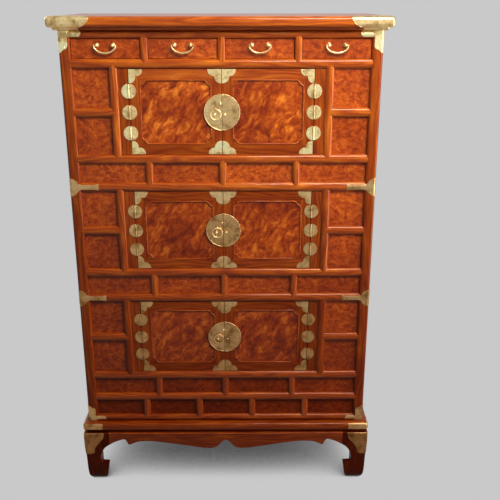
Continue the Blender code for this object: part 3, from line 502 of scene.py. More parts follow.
def loft(rings, hollow=False):
    """A solid skinned over rings of points, with its ends filled, or joined if it is hollow."""
    count = len(rings[0])
    rows = len(rings)
    points = [point for ring in rings for point in ring]
    faces = []
    for row in range(rows if hollow else rows - 1):
        start = row * count
        ahead = (row + 1) % rows * count
        faces += [
            [start + i, start + (i + 1) % count, ahead + (i + 1) % count, ahead + i] for i in range(count)
        ]
    if not hollow:
        faces += [list(range(count)), list(range((rows - 1) * count, rows * count))]
    return points, faces


PLACES = {
    "X": lambda a, b, t: (t, a, b),
    "Y": lambda a, b, t: (a, t, b),
    "Z": lambda a, b, t: (a, b, t),
}


def extrude(section, along, start, end):
    """A section made thick along an axis: its points are (y, z), (x, z) or (x, y)."""
    place = PLACES[along]
    return loft([[place(a, b, t) for a, b in section] for t in (start, end)])


def moulding(along, low, high, start, end, crest=FRONT, back=MOULDING_BACK):
    """A half-round moulding on the front of the chest."""
    centre = ((low + high) / 2, crest + MOULDING_RISE)
    section = [(low, back), (high, back)]
    section += arc(centre, ((high - low) / 2, -MOULDING_RISE), 0, 180, ROUND_STEPS)
    if along == "X":
        section = [(depth, across) for across, depth in section]
    return extrude(section, along, start, end)


def inset(outline, distance):
    """A flat outline drawn in by a distance."""
    points = [Vector(point) for point in outline]
    trios = list(zip(points[-1:] + points, points, points[1:] + points[:1]))
    turn = 1 if sum(before.x * here.y - here.x * before.y for before, here, _ in trios) > 0 else -1
    drawn = []
    for before, here, after in trios:
        arriving = (here - before).normalized()
        leaving = (after - here).normalized()
        side = Vector((-arriving.y, arriving.x)) * turn
        normal = (side + Vector((-leaving.y, leaving.x)) * turn).normalized()
        drawn.append(here + normal * distance / max(MITRE_LIMIT, normal.dot(side)))
    return drawn


def plate(outline, front, back, rim, along="Y", rim_behind=False):
    """A flat outline made thick, with a softened rim at its front, or at both faces."""
    into = math.copysign(rim, back - front)
    rings = [(0.0, front + into), (RIM_SHARE * rim, front + RIM_SHARE * into), (rim, front)]
    if rim_behind:
        behind = [(rim, back), (RIM_SHARE * rim, back - RIM_SHARE * into), (0.0, back - into)]
    else:
        behind = [(0.0, back)]
    place = PLACES[along]
    return loft([
        [place(a, b, level) for a, b in (inset(outline, drawn_in) if drawn_in else outline)]
        for drawn_in, level in behind + rings
    ])


def smooth_curve(points, steps, corners=()):
    """A round line through flat points, which stays sharp at the corners named by number."""
    made = []
    last = len(points) - 1
    for i in range(last):
        start = Vector(points[i])
        end = Vector(points[i + 1])
        before = start if i == 0 or i in corners else Vector(points[i - 1])
        after = end if i + 1 == last or i + 1 in corners else Vector(points[i + 2])
        lead = (end - before) / 2
        follow = (after - start) / 2
        for step in range(steps):
            t = step / steps
            made.append(
                start * (2 * t**3 - 3 * t**2 + 1) + lead * (t**3 - 2 * t**2 + t)
                + end * (3 * t**2 - 2 * t**3) + follow * (t**3 - t**2)
            )
    made.append(Vector(points[last]))
    return made


def tube(path, radii, sides=WIRE_SIDES, closed=False):
    """A round wire along a path, with one radius or one for each point."""
    path = [Vector(point) for point in path]
    last = len(path) - 1
    if not isinstance(radii, list):
        radii = [radii] * len(path)
    rings = []
    across = None
    for i, (here, radius) in enumerate(zip(path, radii)):
        if closed:
            ahead = path[(i + 1) % len(path)] - path[i - 1]
        else:
            ahead = path[min(i + 1, last)] - path[max(i - 1, 0)]
        ahead.normalize()
        if across is None:
            across = sideways(ahead)
        across = (across - ahead * across.dot(ahead)).normalized()
        rings.append(ring_about(here, across, ahead.cross(across), radius, sides))
    return loft(rings, closed)


def turned(profile, centre, axis, steps=ROUND_STEPS, hollow=False):
    """A turned solid: its profile gives (radius, distance along the axis) from the centre."""
    across = sideways(axis)
    up = axis.cross(across)
    return loft([
        ring_about(Vector(centre) + axis * along, across, up, max(radius, NO_RADIUS), steps)
        for radius, along in profile
    ], hollow)


def mitred_frame(low, high, profile, rounding):
    """Four mitred rails round a rectangle: each solid with its grain.

    The profile gives (distance in from the outer edge, z). The outer corners are rounded.
    """
    members = []
    turns = [math.pi / 8 * step / EDGE_STEPS for step in range(2 * EDGE_STEPS + 1)]
    ends = [(-1, turn) for turn in turns] + [(1, turn) for turn in reversed(turns)]
    for axis, side in ((1, -1), (1, 1), (0, -1), (0, 1)):
        rings = []
        for end, turn in ends:
            ring = []
            for inward, up in profile:
                radius = max(rounding - inward, 0.0)
                centre = max(rounding, inward)
                along_reach = centre - radius * math.cos(math.pi / 4 + turn)
                across_reach = centre - radius * math.sin(math.pi / 4 + turn)
                along = low[1 - axis] + along_reach if end < 0 else high[1 - axis] - along_reach
                across = low[axis] + across_reach if side < 0 else high[axis] - across_reach
                ring.append((along, across, up) if axis else (across, along, up))
            rings.append(ring)
        members.append((loft(rings), "X" if axis else "Y"))
    return members


def sheet(outer, inner):
    """A thick sheet between two grids of points with the same rows and columns."""
    rows = len(outer)
    columns = len(outer[0])
    offset = rows * columns
    points = [point for grid in (outer, inner) for row in grid for point in row]
    faces = []
    for i in range(rows - 1):
        for j in range(columns - 1):
            a = i * columns + j
            quad = [a, a + 1, a + columns + 1, a + columns]
            faces += [quad, [offset + corner for corner in quad]]
    border = [(i * columns + j, columns) for i in range(rows - 1) for j in (0, columns - 1)]
    border += [(i * columns + j, 1) for i in (0, rows - 1) for j in range(columns - 1)]
    faces += [[a, a + step, offset + a + step, offset + a] for a, step in border]
    return points, faces


def add_object(name, data):
    """A new object in the scene."""
    made = bpy.data.objects.new(name, data)
    bpy.context.scene.collection.objects.link(made)
    return made


GRAINS = {
    "X": lambda point: Vector((point.x, point.z, point.y)),
    "Y": lambda point: Vector((point.y, point.z, point.x)),
    "Z": lambda point: Vector((point.z, point.x, point.y)),
    "slant": lambda point: Vector((
        SLANT_UP * point.z + SLANT_ACROSS * point.x, SLANT_UP * point.x - SLANT_ACROSS * point.z,
        point.y,
    )),
}


class Piece:
    """One piece in the making: solids with the way that the grain of each one runs."""

    def __init__(self, tone=1.0):
        self.points = []
        self.faces = []
        self.grains = []
        self.tones = []
        self.tone = tone

    def add(self, solid, grain="X", tone=1.0):
        """Add a solid. Each board is cut from another place in its tree, and has its own tone."""
        own = self.tone * tone * LUCK.uniform(*BOARD_TONES)
        cut_from = Vector([LUCK.uniform(0.0, TREE) for _ in range(3)])
        start = len(self.points)
        points = [Vector(point) for point in solid[0]]
        self.points += points
        self.faces += [[start + corner for corner in face] for face in solid[1]]
        self.grains += [value for point in points for value in GRAINS[grain](point) + cut_from]
        # The tone also falls towards the floor: painted shade for light that falls off lower down
        for point in points:
            left = own * value_at(HEIGHT_SHADE, point.z)
            self.tones += [left ** power for power in SHADE_POWERS]
        return self

    def make(self, name, material, nodes=(), body="cabinet"):
        """The finished object, riding on its body and standing for CAD nodes."""
        mesh = bpy.data.meshes.new(name)
        mesh.from_pydata(self.points, [], self.faces)
        work = bmesh.new()
        work.from_mesh(mesh)
        bmesh.ops.recalc_face_normals(work, faces=work.faces)
        work.to_mesh(mesh)
        work.free()
        for attribute, values in (("grain", self.grains), ("tone", self.tones)):
            mesh.attributes.new(attribute, "FLOAT_VECTOR", "POINT").data.foreach_set("vector", values)
        mesh.materials.append(material)
        mesh.shade_smooth()
        mesh.set_sharp_from_angle(angle=math.radians(SHARP_ANGLE))
        piece = add_object(name, mesh)
        piece.modifiers.new("even_shading", "WEIGHTED_NORMAL").keep_sharp = True
        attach(piece, body)
        if nodes:
            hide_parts(*nodes)


class Recipe:
    """Short calls for the nodes of one material or world."""

    def __init__(self, owner):
        self.owner = owner
        owner.use_nodes = True
        self.tree = owner.node_tree

    @classmethod
    def of_material(cls, name):
        """The recipe of a new material."""
        return cls(bpy.data.materials.new(name))

    def node(self, kind, inputs=(), **settings):
        """A node with its settings, and its inputs set or linked in order or by name."""
        made = self.tree.nodes.new(kind)
        for key, value in settings.items():
            setattr(made, key, value)
        pairs = inputs.items() if isinstance(inputs, dict) else enumerate(inputs)
        for key, value in pairs:
            self.put(made.inputs[key], value)
        return made

    def put(self, socket, value):
        """Link a socket to another node's output, or set its value."""
        if isinstance(value, bpy.types.NodeSocket):
            self.tree.links.new(value, socket)
        else:
            socket.default_value = value

    def attribute(self, name):
        """A vector that each point of the mesh has."""
        return self.node("ShaderNodeAttribute", attribute_name=name).outputs["Vector"]

    def object_place(self):
        """A place in the object's own frame."""
        return self.node("ShaderNodeTexCoord").outputs["Object"]

    def parts(self, vector):
        """The three parts of a vector."""
        return self.node("ShaderNodeSeparateXYZ", [vector]).outputs

    def math(self, operation, *values, clamp=False):
        """The result of a Math node."""
        return self.node("ShaderNodeMath", values, operation=operation, use_clamp=clamp).outputs[0]

    def vector(self, operation, *values):
        """The result of a Vector Math node."""
        return self.node("ShaderNodeVectorMath", values, operation=operation).outputs[0]

    def total(self, *weighed):
        """The sum of numbers, each given with its weight."""
        products = [self.math("MULTIPLY", value, weight) for value, weight in weighed]
        result = products[0]
        for product in products[1:]:
            result = self.math("ADD", result, product)
        return result

    def noise(self, place, scale, detail=2.0, roughness=0.5, output="Fac"):
        """A noise at a place, with one scale or one for each axis."""
        if isinstance(scale, tuple):
            place = self.vector("MULTIPLY", place, scale)
            scale = 1.0
        return self.node(
            "ShaderNodeTexNoise",
            {"Vector": place, "Scale": scale, "Detail": detail, "Roughness": roughness},
        ).outputs[output]

    def ramp(self, value, stops):
        """A colour ramp over a number: stops are (place, colour)."""
        made = self.node("ShaderNodeValToRGB", [value])
        elements = made.color_ramp.elements
        while len(elements) < len(stops):
            elements.new(0.5)
        for element, (place, colour) in zip(elements, stops):
            element.position = place
            element.color = (*colour, 1.0)
        return made.outputs["Color"]

    def span(self, value, low, high, to_low=0.0, to_high=1.0):
        """A number carried from one range to another and held there."""
        return self.node("ShaderNodeMapRange", [value, low, high, to_low, to_high]).outputs[0]

    def mix(self, share, first, second, blend="MIX"):
        """Two colours mixed by a share."""
        made = self.node("ShaderNodeMix", data_type="RGBA", blend_type=blend)
        for key, value in ((0, share), (6, first), (7, second)):
            self.put(made.inputs[key], (*value, 1.0) if isinstance(value, tuple) else value)
        return made.outputs[2]

    def finish(self, colour, roughness, relief, strength, distance, more=None):
        """Drive the shader, and set its plain values on their own sockets."""
        shader = self.tree.nodes["Principled BSDF"]
        bump = self.node("ShaderNodeBump", {"Strength": strength, "Distance": distance, "Height": relief})
        values = {"Base Color": colour, "Roughness": roughness, "Normal": bump.outputs[0], **(more or {})}
        for key, value in values.items():
            self.put(shader.inputs[key], value)
        return self.owner

    def lacquered(self, colour, roughness, relief, strength):
        """Finish as lacquered wood, with less gloss where its tone is dark, which includes the painted shade
        towards the floor.
        """
        tone = self.attribute("tone")
        left = self.parts(tone)[0]
        # The colour is multiplied by the tone, which holds painted shade towards the floor
        return self.finish(self.vector("MULTIPLY", colour, tone), roughness, relief, strength, 0.0015, {
            "Specular Tint": (1.0, 0.62, 0.34, 1.0), "Coat Roughness": 0.09, "Coat IOR": 1.5,
            "Specular IOR Level": self.span(left, 0.15, 0.60, 0.07, 0.20),
            "Coat Weight": self.span(left, 0.30, 1.0, 0.02, 0.38),
        })


def elm_material():
    """Elm under red-brown lacquer: soft long growth rings that arch, and fine pores."""
    recipe = Recipe.of_material("lacquered_elm")
    place = recipe.attribute("grain")
    _, across, deep = recipe.parts(place)
    sway = recipe.noise(place, (2.2, 16.0, 16.0))
    ring = recipe.math("PINGPONG", recipe.total((across, 60.0), (deep, 30.0), (sway, 9.0)), 0.5)
    streaks = recipe.noise(place, (6.0, 260.0, 260.0), 2.0, 0.6)
    pores = recipe.noise(place, (50.0, 1300.0, 1300.0), 1.0)
    clouds = recipe.noise(place, (7.0, 22.0, 22.0), 3.0, 0.55)
    colour = recipe.ramp(recipe.total((ring, 0.56), (streaks, 0.30), (clouds, 0.60)), ELM_COLOURS)
    colour = recipe.mix(recipe.span(pores, 0.30, 0.42, 0.35, 0.0), colour, ELM_PORES)
    return recipe.lacquered(colour, recipe.span(streaks, 0.3, 0.7, 0.36, 0.28), clouds, 0.10)


def burl_material(name, stretch, curl, contrast, gold):
    """Burl veneer under lacquer: curling orange clouds between dark red-brown hollows."""
    recipe = Recipe.of_material(name)
    place = recipe.attribute("grain")
    bend = recipe.vector("SUBTRACT", recipe.noise(place, 14.0, output="Color"), (0.5, 0.5, 0.5))
    bent = recipe.vector("ADD", place, recipe.vector("MULTIPLY", bend, (0.05, 0.05, 0.05)))
    clouds = recipe.noise(bent, stretch, 3.0, 0.60)
    curls = recipe.noise(bent, curl, 3.0, 0.60)
    drift = recipe.noise(place, 7.0, 1.0)
    flecks = recipe.noise(place, 620.0, 2.0, 0.6)
    figure = recipe.span(recipe.total((clouds, 0.62), (curls, 0.38)), 0.5 - contrast, 0.5 + contrast)
    colour = recipe.ramp(figure, BURL_COLOURS + gold)
    colour = recipe.mix(1.0, colour, recipe.ramp(drift, BURL_SHADES), "MULTIPLY")
    colour = recipe.mix(recipe.span(flecks, 0.34, 0.48, 0.22, 0.0), colour, BURL_FLECKS)
    return recipe.lacquered(colour, recipe.span(clouds, 0.3, 0.7, 0.38, 0.28), clouds, 0.08)


def inner_material(name, in_boards):
    """Plain pale wood, oiled but not lacquered, cut in boards or in one place."""
    recipe = Recipe.of_material(name)
    place = recipe.attribute("grain") if in_boards else recipe.object_place()
    sway = recipe.noise(place, (2.0, 16.0, 16.0))
    streaks = recipe.noise(place, (4.0, 240.0, 240.0), 3.0, 0.6)
    colour = recipe.ramp(recipe.total((sway, 0.6), (streaks, 0.4)), INNER_COLOURS)
    return recipe.finish(colour, recipe.span(streaks, 0.3, 0.7, 0.62, 0.48), streaks, 0.12, 0.0008)


def brass_material():
    """Pale cast and hammered brass, darker where the polish has gone."""
    recipe = Recipe.of_material("pale_brass")
    place = recipe.object_place()
    clouds = recipe.noise(place, 30.0, 3.0, 0.6)
    spots = recipe.noise(place, 130.0, 3.0, 0.65)
    brushed = recipe.noise(place, (900.0, 900.0, 120.0))
    colour = recipe.ramp(clouds, BRASS_COLOURS)
    colour = recipe.mix(recipe.span(spots, 0.34, 0.46, 0.45, 0.0), colour, BRASS_SPOTS)
    # The tone holds each piece's own tone and painted shade towards the floor
    colour = recipe.vector("MULTIPLY", colour, recipe.attribute("tone"))
    roughness = recipe.total((recipe.span(clouds, 0.3, 0.7, 0.42, 0.26), 1.0), (brushed, 0.08))
    return recipe.finish(colour, roughness, spots, 0.12, 0.0006, {"Metallic": 1.0})


ELM = elm_material()
FLAME_BURL = burl_material("flame_burl", (20.0, 40.0, 34.0), (60.0, 100.0, 90.0), 0.145, FLAME_GOLD)
FINE_BURL = burl_material("fine_burl", (55.0, 70.0, 62.0), (150.0, 190.0, 170.0), 0.180, FINE_GOLD)
INNER = inner_material("inner_wood_boards", True)
INNER_FIXED = inner_material("inner_wood_panels", False)
BRASS_METAL = brass_material()


def corner_bracket(reach, arm, centre_arm):
    """A lobed corner bracket as (across, along): its corner is at the origin."""
    lobe = LOBE * arm
    centre_lobe = CENTRE_LOBE * centre_arm
    return [
        (0.0, 0.0), (reach, 0.0), *arc((reach - lobe, arm - lobe), lobe, 0, 90, LOBE_STEPS),
        (centre_arm, arm),
        *arc((centre_arm - centre_lobe, reach - centre_lobe), centre_lobe, 0, 90, CENTRE_LOBE_STEPS),
        (0.0, reach),
    ]


def nail(point, normal=-INTO, radius=NAIL_RADIUS):
    """A small round nail head."""
    profile = [(radius, 0.0), (radius, NAIL_HEIGHT / 3), (radius / 2, NAIL_HEIGHT), (0.0, NAIL_HEIGHT)]
    return turned(profile, point, normal, WIRE_SIDES)


def hinge_leaves(sign, tier, on_door):
    """The leaves and knuckles of a door's hinges, on the door or on the jamb with the pins."""
    piece = Piece(DOOR_BRASS_LIT_TONES[tier])
    axis_x = sign * DOOR_SPAN
    away = -sign if on_door else sign
    leaf_front = FACE - LEAF_THICKNESS
    lean = math.degrees(math.asin(LEAF_EDGE / HINGE_RADIUS))
    third = BARREL_LENGTH / 3
    spans = [(-1.5 * third, -third / 2), (third / 2, 1.5 * third)]
    if on_door:
        spans = [(KNUCKLE_GAP - third / 2, third / 2 - KNUCKLE_GAP)]
    for step in (-1, 0, 1):
        z = DOOR_Z[tier - 1] + DOOR_OPENING / 2 + step * HINGE_PITCH
        half_disc = arc((axis_x, z), (away * HINGE_RADIUS, HINGE_RADIUS), 90 - lean, lean - 90, FINE_STEPS)
        piece.add(plate(half_disc, leaf_front, FACE + FIT, LEAF_RIM))
        circle = (away * LEAF_NAIL_CIRCLE, LEAF_NAIL_CIRCLE)
        for nail_x, nail_z in arc((axis_x, z), circle, -LEAF_NAIL_TURN, LEAF_NAIL_TURN, 2):
            piece.add(nail((nail_x, leaf_front, nail_z), radius=LEAF_NAIL))
        axis = (axis_x, HINGE_Y, z)
        for low, high in spans:
            reach = (axis_x, axis_x + away * (LEAF_EDGE + LEAF_THICKNESS))
            piece.add(block(reach, (leaf_front, FACE), (z + low, z + high), FIT))
            bore = BARREL_BORE if on_door else 0.0
            rim = BARREL_RADIUS - BARREL_RIM
            piece.add(turned([
                (bore, low), (rim, low), (BARREL_RADIUS, low + BARREL_RIM),
                (BARREL_RADIUS, high - BARREL_RIM), (rim, high), (bore, high),
            ], axis, UP, hollow=on_door))
        if not on_door:
            half = BARREL_LENGTH / 2 - KNUCKLE_GAP
            piece.add(turned([(PIN_RADIUS, -half), (PIN_RADIUS, half)], axis, UP))
    return piece


def round_recess(inward, radius):
    """How far a rounded edge lies behind the face, at a distance inward from its side."""
    if inward >= radius:
        return 0.0
    return radius - math.sqrt(radius**2 - (radius - max(inward, 0.0))**2)


def make_top():
    """The top board with its rounded edge, and the bead under it."""
    piece = Piece()
    piece.add(block(
        (TOP_LOW.x, TOP_HIGH.x), (TOP_LOW.y, TOP_HIGH.y), (BOARD_LOW, TOP_HIGH.z), TOP_ROUND, TOP_STEPS,
    ))
    piece.add(block((-BEAD_X, BEAD_X), (BEAD_FRONT, BACK), (TOP_LOW.z, BEAD_TOP), BEAD_ROUND, TOP_STEPS))
    piece.make("top_board_wood", ELM, ["top_board"])


def make_posts():
    """Front posts with rounded front edges, and plain rear posts."""
    centre_y = FRONT + POST_ROUND
    quarter = ROUND_STEPS // 2
    section = arc((POST_IN + POST_ROUND, centre_y), POST_ROUND, 180, 270, quarter)
    section += arc((POST_FLAT, centre_y), POST_ROUND, 270, 360, quarter)
    section += [(POST_OUT, FRAME_BACK), (POST_IN, FRAME_BACK)]
    for side, sign in SIDES.items():
        placed = [(sign * x, y) for x, y in section]
        front = Piece(POST_TONE).add(extrude(placed, "Z", POST_LOW.z, CARCASS_TOP), "Z")
        front.make(f"front_post_{side}", ELM, [f"post_front_{side}"])
        rear = Piece().add(block(
            (sign * POST_IN, sign * POST_OUT), (REAR_LOW.y, BACK), (POST_LOW.z, CARCASS_TOP), SOFT_EDGE,
        ), "Z")
        rear.make(f"rear_post_{side}", ELM, [f"post_rear_{side}"])


def add_rail(piece, low, high, back=MOULDING_BACK):
    """A half-round rail from post to post, running into the posts' rounded edges."""
    half = POST_IN + POST_ROUND
    piece.add(moulding("X", low, high, -half, half, FRONT + FIT, back))


def add_core(piece, low, high):
    """The flat core behind a rail, from post to post."""
    half = POST_IN - FIT
    piece.add(block((-half, half), (FRONT + MOULDING_RISE, FRAME_BACK), (low, high)))


def add_door_lip(piece, low, high):
    """The deep edge of a rail that a pair of doors closes against."""
    depth = (FRONT + MOULDING_RISE + FIT, FRAME_BACK - FIT)
    piece.add(block((-JAMB_OUT, JAMB_OUT), depth, (low, high), EDGE))


def add_dividers(piece, places, low, high, back=MOULDING_BACK):
    """Half-round dividers between two rails."""
    for x in places:
        piece.add(moulding(
            "Z", x - DIVIDER / 2, x + DIVIDER / 2, low - DIVIDER_REACH, high + DIVIDER_REACH,
            FRONT + DIVIDER_SETBACK, back,
        ), "Z")


def make_face_frames():
    """The frames of rails and dividers round the drawers and the rows of panels."""
    top_low = CARCASS_TOP - TOP_RAIL
    rail_low = DRAWER_Z - RAIL
    piece = Piece()
    add_rail(piece, top_low, CARCASS_TOP, FRAME_BACK)
    add_rail(piece, rail_low, DRAWER_Z)
    add_core(piece, rail_low + RAIL_TUCK, DRAWER_Z - FIT)
    add_door_lip(piece, rail_low + FIT, rail_low + RAIL / 2)
    add_dividers(piece, DIVIDER_X, DRAWER_Z - RAIL / 2, top_low + TOP_RAIL / 2, FRAME_BACK - FIT)
    piece.make("drawer_frame_wood", ELM, ["drawer_frame"])
    for tier, door_z in enumerate(DOOR_Z[:-1], start=1):
        row_top = door_z - RAIL
        row_low = row_top - PANEL_ROW
        rail_low = row_low - RAIL
        piece = Piece()
        add_rail(piece, rail_low, row_low)
        add_core(piece, rail_low + RAIL_TUCK, row_low - RAIL_TUCK)
        add_rail(piece, row_top, door_z)
        add_door_lip(piece, row_top + RAIL_TUCK, door_z - FIT)
        add_door_lip(piece, rail_low + FIT, rail_low + RAIL / 2)
        add_dividers(piece, DIVIDER_X, row_low - RAIL / 2, row_top + RAIL / 2)
        piece.make(f"panel_row_frame_{tier}", ELM, [f"row_frame_{tier}"])
    piece = Piece(FOOT_ROW_TONE)
    core = (BASE_RAIL - RAIL_CORE) / 2
    low = CARCASS_BASE + FIT
    row_top = DOOR_Z[-1] - RAIL
    add_rail(piece, low, BASE_ROW_Z)
    add_core(piece, low + core, BASE_ROW_Z - core)
    add_rail(piece, MID_RAIL_Z, LOW_ROW_Z)
    add_rail(piece, row_top, DOOR_Z[-1])
    add_door_lip(piece, row_top + RAIL_TUCK, DOOR_Z[-1] - FIT)
    add_dividers(piece, DIVIDER_X, LOW_ROW_Z - RAIL / 2, row_top + RAIL / 2)
    add_dividers(piece, BASE_DIVIDER_X, BASE_ROW_Z - BASE_RAIL / 2, MID_RAIL_Z + RAIL / 2)
    piece.make("foot_row_frame", ELM, ["base_row_frame"])


def make_bay_frames():
    """The column, jamb, door stop and short rail of each side bay, and the jamb's hinge leaves."""
    reach = RAIL / 2 - DIVIDER_REACH
    for label, sign, tier, door_z in DOORS:
        low = door_z + FIT
        high = door_z + DOOR_OPENING - FIT
        middle = door_z + DOOR_OPENING / 2
        column = sorted((sign * COLUMN_IN, sign * COLUMN_OUT))
        rail_ends = sorted((sign * (COLUMN_OUT - COLUMN / 2), sign * (POST_IN + POST_ROUND)))
        piece = Piece()
        upright = moulding("Z", *column, low - reach, high + reach, FRONT + DIVIDER_SETBACK)
        piece.add(upright, "Z", COLUMN_SHADE_TONES[tier])
        piece.add(block(
            (sign * (DOOR_SPAN + DOOR_GAP), sign * JAMB_OUT), (FACE, FRAME_BACK), (low, high), EDGE,
        ), "Z", JAMB_TONE)
        piece.add(block(
            (sign * (DOOR_SPAN - STOP_LIP), sign * (DOOR_SPAN + JAMB / 2)),
            (FACE + DOOR_THICKNESS + FIT, FRAME_BACK - FIT), (low, high), EDGE,
        ), "Z")
        piece.add(moulding("X", middle - RAIL / 2, middle + RAIL / 2, *rail_ends, FRONT + FIT))
        piece.make(f"side_bay_{label}", ELM, [f"bay_frame_{label}"])
        hinge_leaves(sign, tier, on_door=False).make(f"jamb_hinges_{label}", BRASS_METAL)


def row_bays(places):
    """The stretches between the dividers of a row."""
    edges = [-POST_IN - DIVIDER / 2, *places, POST_IN + DIVIDER / 2]
    return [(a + DIVIDER / 2, b - DIVIDER / 2) for a, b in zip(edges, edges[1:])]


def make_burl_boards():
    """The burl panels of the side bays and of the rows, a little larger than their openings."""
    for tier, door_z in enumerate(DOOR_Z, start=1):
        middle = door_z + DOOR_OPENING / 2
        openings = []
        for sign in SIDES.values():
            bay = sorted((sign * COLUMN_OUT, sign * POST_IN))
            openings.append((bay, door_z, middle - RAIL / 2, 1.0))
            openings.append((bay, middle + RAIL / 2, door_z + DOOR_OPENING, 1.0))
        if tier < len(DOOR_Z):
            rows = [(DIVIDER_X, door_z - RAIL - PANEL_ROW, door_z - RAIL, 1.0)]
        else:
            rows = [
                (DIVIDER_X, LOW_ROW_Z, LOW_ROW_Z + LOW_ROW, LOW_BURL_TONE),
                (BASE_DIVIDER_X, BASE_ROW_Z, MID_RAIL_Z, BASE_BURL_TONE),
            ]
        openings += [(bay, *row) for places, *row in rows for bay in row_bays(places)]
        piece = Piece()
        for (x0, x1), z0, z1, tone in openings:
            piece.add(block(
                (x0 - PANEL_TUCK, x1 + PANEL_TUCK), (PANEL_FACE, PANEL_FACE + PANEL_BOARD),
                (z0 - PANEL_TUCK, z1 + PANEL_TUCK),
            ), "X", tone)
        piece.make(f"burl_panels_{tier}", FINE_BURL, [f"burl_board_{tier}"])


def notched_corner(x, z, inward_x, inward_z):
    """One corner of a door's opening: two small rounds that meet in an inward point."""
    radius = PANEL_NOTCH / 2
    rounds = arc((radius, PANEL_NOTCH), -radius, 0, 90, NOTCH_STEPS)
    rounds += arc((PANEL_NOTCH, radius), -radius, 0, 90, NOTCH_STEPS)[1:]
    return [(x + inward_x * across, z + inward_z * along) for across, along in rounds]


def door_wood(sign, tier, z0, z1, corners):
    """Two rails and two stiles, mitred from corner to corner, with a bead round the opening."""
    wood = Piece()
    x0, x1 = sorted((sign * MEETING_GAP, sign * (DOOR_SPAN - DOOR_GAP)))
    outer = [(x0, z0), (x1, z0), (x1, z1), (x0, z1)]
    half = len(corners[0]) // 2
    for member, grain in enumerate("XZXZ"):
        following = (member + 1) % 4
        inner = corners[member][half:] + corners[following][:half + 1]
        outline = [outer[member], outer[following], *inner[::-1]]
        board = plate(outline, FACE, FACE + DOOR_THICKNESS, DOOR_RIM, rim_behind=True)
        wood.add(board, grain, DOOR_TONES[tier][member])
    bead = [(x, FACE + BEAD_SINK, z) for x, z in inset(sum(corners, []), BEAD_RADIUS / 2)]
    return wood.add(tube(bead, BEAD_RADIUS, closed=True))


def door_brackets(sign, tier, z0, z1):
    """The four corner brackets of a door: the two in the middle are a little wider."""
    piece = Piece(DOOR_BRASS_LIT_TONES[tier])
    front = FACE - BRASS
    ends = ((sign * (DOOR_SPAN - DOOR_GAP), -sign, BRACKET_ARM), (sign * MEETING_GAP, sign, MIDDLE_ARM))
    for x, inward, centre_arm in ends:
        for z, upward in ((z0, 1), (z1, -1)):
            outline = [
                (x + inward * (across + BRACKET_INSET[0]), z + upward * (along + BRACKET_INSET[1]))
                for across, along in corner_bracket(BRACKET_REACH, BRACKET_ARM, centre_arm)
            ]
            piece.add(plate(outline, front, FACE + FIT, BRASS_RIM))
            for across, along in BRACKET_NAILS:
                piece.add(nail((x + inward * across, front, z + upward * along), radius=BRACKET_NAIL))
    return piece


def make_doors():
    """Six doors, each with mitred members, a bead, a burl panel, hinge leaves and brackets."""
    face = FACE + PANEL_SETBACK
    for label, sign, tier, door_z in DOORS:
        body = f"door_{label}"
        z0 = door_z + DOOR_GAP
        z1 = door_z + DOOR_OPENING - DOOR_GAP
        low = door_z + DOOR_RAIL
        high = door_z + DOOR_OPENING - DOOR_RAIL
        left, right = sorted((sign * DOOR_STILE, sign * (DOOR_SPAN - DOOR_STILE)))
        corners = [
            notched_corner(left, low, 1, 1), notched_corner(right, low, -1, 1)[::-1],
            notched_corner(right, high, -1, -1), notched_corner(left, high, 1, -1)[::-1],
        ]
        door_wood(sign, tier, z0, z1, corners).make(f"door_wood_{label}", ELM, [f"door_frame_{label}"], body)
        outline = inset(sum(corners, []), -PANEL_TUCK)
        panel = Piece(DOOR_PANEL_TONES[tier])
        panel.add(plate(outline, face, face + PANEL_THICKNESS, DOOR_RIM, rim_behind=True), "slant")
        panel.make(f"door_burl_{label}", FLAME_BURL, [f"door_panel_{label}"], body)
        hinge_leaves(sign, tier, on_door=True).make(f"door_hinges_{label}", BRASS_METAL, body=body)
        door_brackets(sign, tier, z0, z1).make(f"door_brackets_{label}", BRASS_METAL, body=body)


def stud(x, z, size=STUD):
    """A round-headed stud on a lock plate."""
    radius, height = size
    profile = [(radius * share, along) for share, along in STUD_FOOT]
    profile.append((radius * STUD_NECK[0], height - radius * STUD_NECK[1]))
    profile += arc((0.0, height - radius), radius, -45, 90, DOME_STEPS)
    return turned(profile, (x, LOCK_FACE, z), -INTO, STUD_STEPS)


